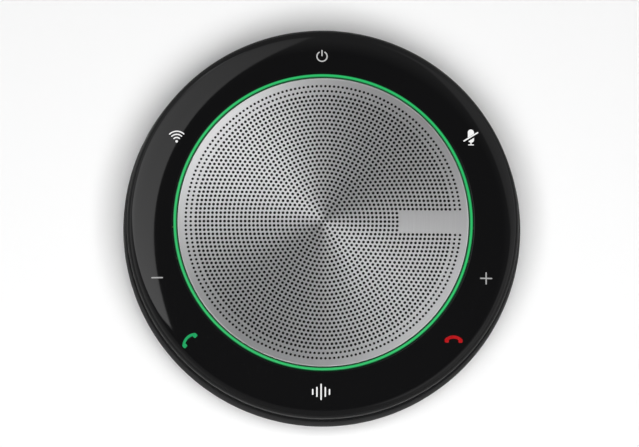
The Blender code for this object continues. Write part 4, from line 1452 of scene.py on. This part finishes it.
# %% Floor
def make_floor():
    """A white floor that mirrors see as grey, as if dark cards lay round the object.

    It is clear from below and to light from below, so that the foot and the label can be looked at."""
    bpy.ops.mesh.primitive_plane_add(size=8.0)
    floor = bpy.context.object
    floor.name = "floor"
    made, shader = new_material("floor_white", (0.9, 0.9, 0.9), 0.9)
    shader.inputs["Specular IOR Level"].default_value = 0.0
    tree = made.node_tree
    ray = tree.nodes.new("ShaderNodeLightPath")
    tint(made, shader, ray.outputs["Is Glossy Ray"], (0.9, 0.9, 0.9), (0.22, 0.22, 0.22))
    place = object_place(tree)
    reach = vector_node(tree, "LENGTH", place)
    lift = tree.nodes.new("ShaderNodeMapRange")
    lift.inputs["From Min"].default_value = 0.22
    lift.inputs["From Max"].default_value = 1.4
    lift.inputs["To Max"].default_value = 0.9
    tree.links.new(reach.outputs["Value"], lift.inputs["Value"])
    unmirrored = math_node(tree, "SUBTRACT", 1.0, ray.outputs["Is Glossy Ray"])
    glow = math_node(tree, "MULTIPLY", lift.outputs["Result"], unmirrored)
    tree.links.new(glow, shader.inputs["Emission Strength"])
    shader.inputs["Emission Color"].default_value = (1.0, 1.0, 1.0, 1.0)
    clear = tree.nodes.new("ShaderNodeBsdfTransparent")
    from_below = tree.nodes.new("ShaderNodeNewGeometry").outputs["Backfacing"]
    lets_through = math_node(tree, "MAXIMUM", from_below, ray.outputs["Is Shadow Ray"])
    sided = tree.nodes.new("ShaderNodeMixShader")
    tree.links.new(lets_through, sided.inputs["Fac"])
    tree.links.new(shader.outputs[0], sided.inputs[1])
    tree.links.new(clear.outputs[0], sided.inputs[2])
    tree.links.new(sided.outputs[0], tree.nodes["Material Output"].inputs["Surface"])
    floor.data.materials.append(made)


make_floor()


# %% [markdown]
# Each lamp is a level panel, placed by how far it reaches from the point over the object and in which
# direction. Its place decides where its reflection lies in the fascia. The grille's brushed rings
# spread a single lamp into two bright fans.

# %% Lamps
BOX_HEIGHT = 1.0


def softbox(name, near, far, left, right, turn, radiance, grow=(1.0, 1.0), mirrored=True, lights=True,
            only=None, spares=None, height=BOX_HEIGHT):
    """A level panel overhead. It spans near to far along a compass angle, and left to right across it.

    grow is how its brightness changes from its near edge to its far one. only is the one piece that
    it lights and spares the one piece that it leaves dark, as flags beside a real lamp do. A panel
    below the floor shines upwards."""
    length, width = far - near, left + right
    lamp_data = bpy.data.lights.new(name, "AREA")
    lamp_data.shape = "RECTANGLE"
    lamp_data.size = length
    lamp_data.size_y = width
    lamp_data.energy = radiance * length * width * math.pi
    lamp_data.use_nodes = True
    tree = lamp_data.node_tree
    across = tree.nodes.new("ShaderNodeNewGeometry").outputs["Parametric"]
    split = tree.nodes.new("ShaderNodeSeparateXYZ")
    tree.links.new(across, split.inputs[0])
    strength = remap(tree, split.outputs["Y"], *grow)
    tree.links.new(strength, tree.nodes["Emission"].inputs["Strength"])
    lamp = bpy.data.objects.new(name, lamp_data)
    bpy.context.scene.collection.objects.link(lamp)
    lamp.location = polar((near + far) / 2, turn) + polar((left - right) / 2, turn + 90, height)
    lamp.rotation_euler = (math.radians(180) if height < 0 else 0, 0, math.radians(turn))
    lamp.visible_camera = False
    lamp.visible_glossy = mirrored
    lamp.visible_diffuse = lights
    flagged = only or spares
    if flagged:
        state = "INCLUDE" if only else "EXCLUDE"
        aimed = bpy.data.collections.new(name)
        aimed.objects.link(flagged)
        aimed.collection_objects[0].light_linking.link_state = state
        lamp.light_linking.receiver_collection = aimed
    return lamp


softbox("left_box", 0.305, 1.65, 0.29, 0.75, 157, 1.0, grow=(0.2, 1.7), lights=False, spares=grille)
softbox("right_box", 0.6, 1.6, 0.8, 0.8, 25, 0.25, lights=False, spares=grille)
softbox("far_left_box", 0.75, 1.7, 0.5, 0.5, 137, 1.5, lights=False, spares=grille)
softbox("front_box", 0.85, 1.7, 0.5, 0.5, 317, 0.3, lights=False, spares=grille)
softbox("grille_left", 0.2, 0.9, 0.24, 0.28, 128, 2.25, lights=False, only=grille)
softbox("overhead", -0.47, 0.04, 0.34, 0.34, 90, 12.2, mirrored=False)
softbox("underside", -0.5, 0.5, 0.5, 0.5, 0, 3.0, height=-BOX_HEIGHT)


# %% [markdown]
# The room is dark straight above, so that the fascia stays black, and paler lower down, where only
# steep sides mirror it.


# %% Room
def make_room():
    """A dark ceiling over the object, paler walls lower down, and bright side walls near the floor."""
    room = bpy.data.worlds.new("room")
    room.use_nodes = True
    tree = room.node_tree
    way = tree.nodes.new("ShaderNodeTexCoord").outputs["Generated"]
    split = tree.nodes.new("ShaderNodeSeparateXYZ")
    tree.links.new(way, split.inputs[0])
    wall = tree.nodes.new("ShaderNodeMapRange")
    wall.inputs["From Min"].default_value = math.cos(math.radians(25))
    wall.inputs["From Max"].default_value = math.cos(math.radians(34))
    wall.inputs["To Min"].default_value = 0.06
    wall.inputs["To Max"].default_value = 0.22
    tree.links.new(split.outputs["Z"], wall.inputs["Value"])
    low = tree.nodes.new("ShaderNodeMapRange")
    low.inputs["From Min"].default_value = math.cos(math.radians(40))
    low.inputs["From Max"].default_value = math.cos(math.radians(75))
    low.inputs["To Max"].default_value = 0.45
    tree.links.new(split.outputs["Z"], low.inputs["Value"])
    sideways = math_node(tree, "MULTIPLY", split.outputs["X"], split.outputs["X"])
    sides = math_node(tree, "MULTIPLY", sideways, low.outputs["Result"])
    back = tree.nodes["Background"]
    back.inputs["Color"].default_value = (1.0, 1.0, 1.0, 1.0)
    tree.links.new(math_node(tree, "ADD", wall.outputs["Result"], sides), back.inputs["Strength"])
    room.cycles_visibility.diffuse = False
    return room


bpy.context.scene.world = make_room()
bpy.context.scene.view_settings.view_transform = "Standard"
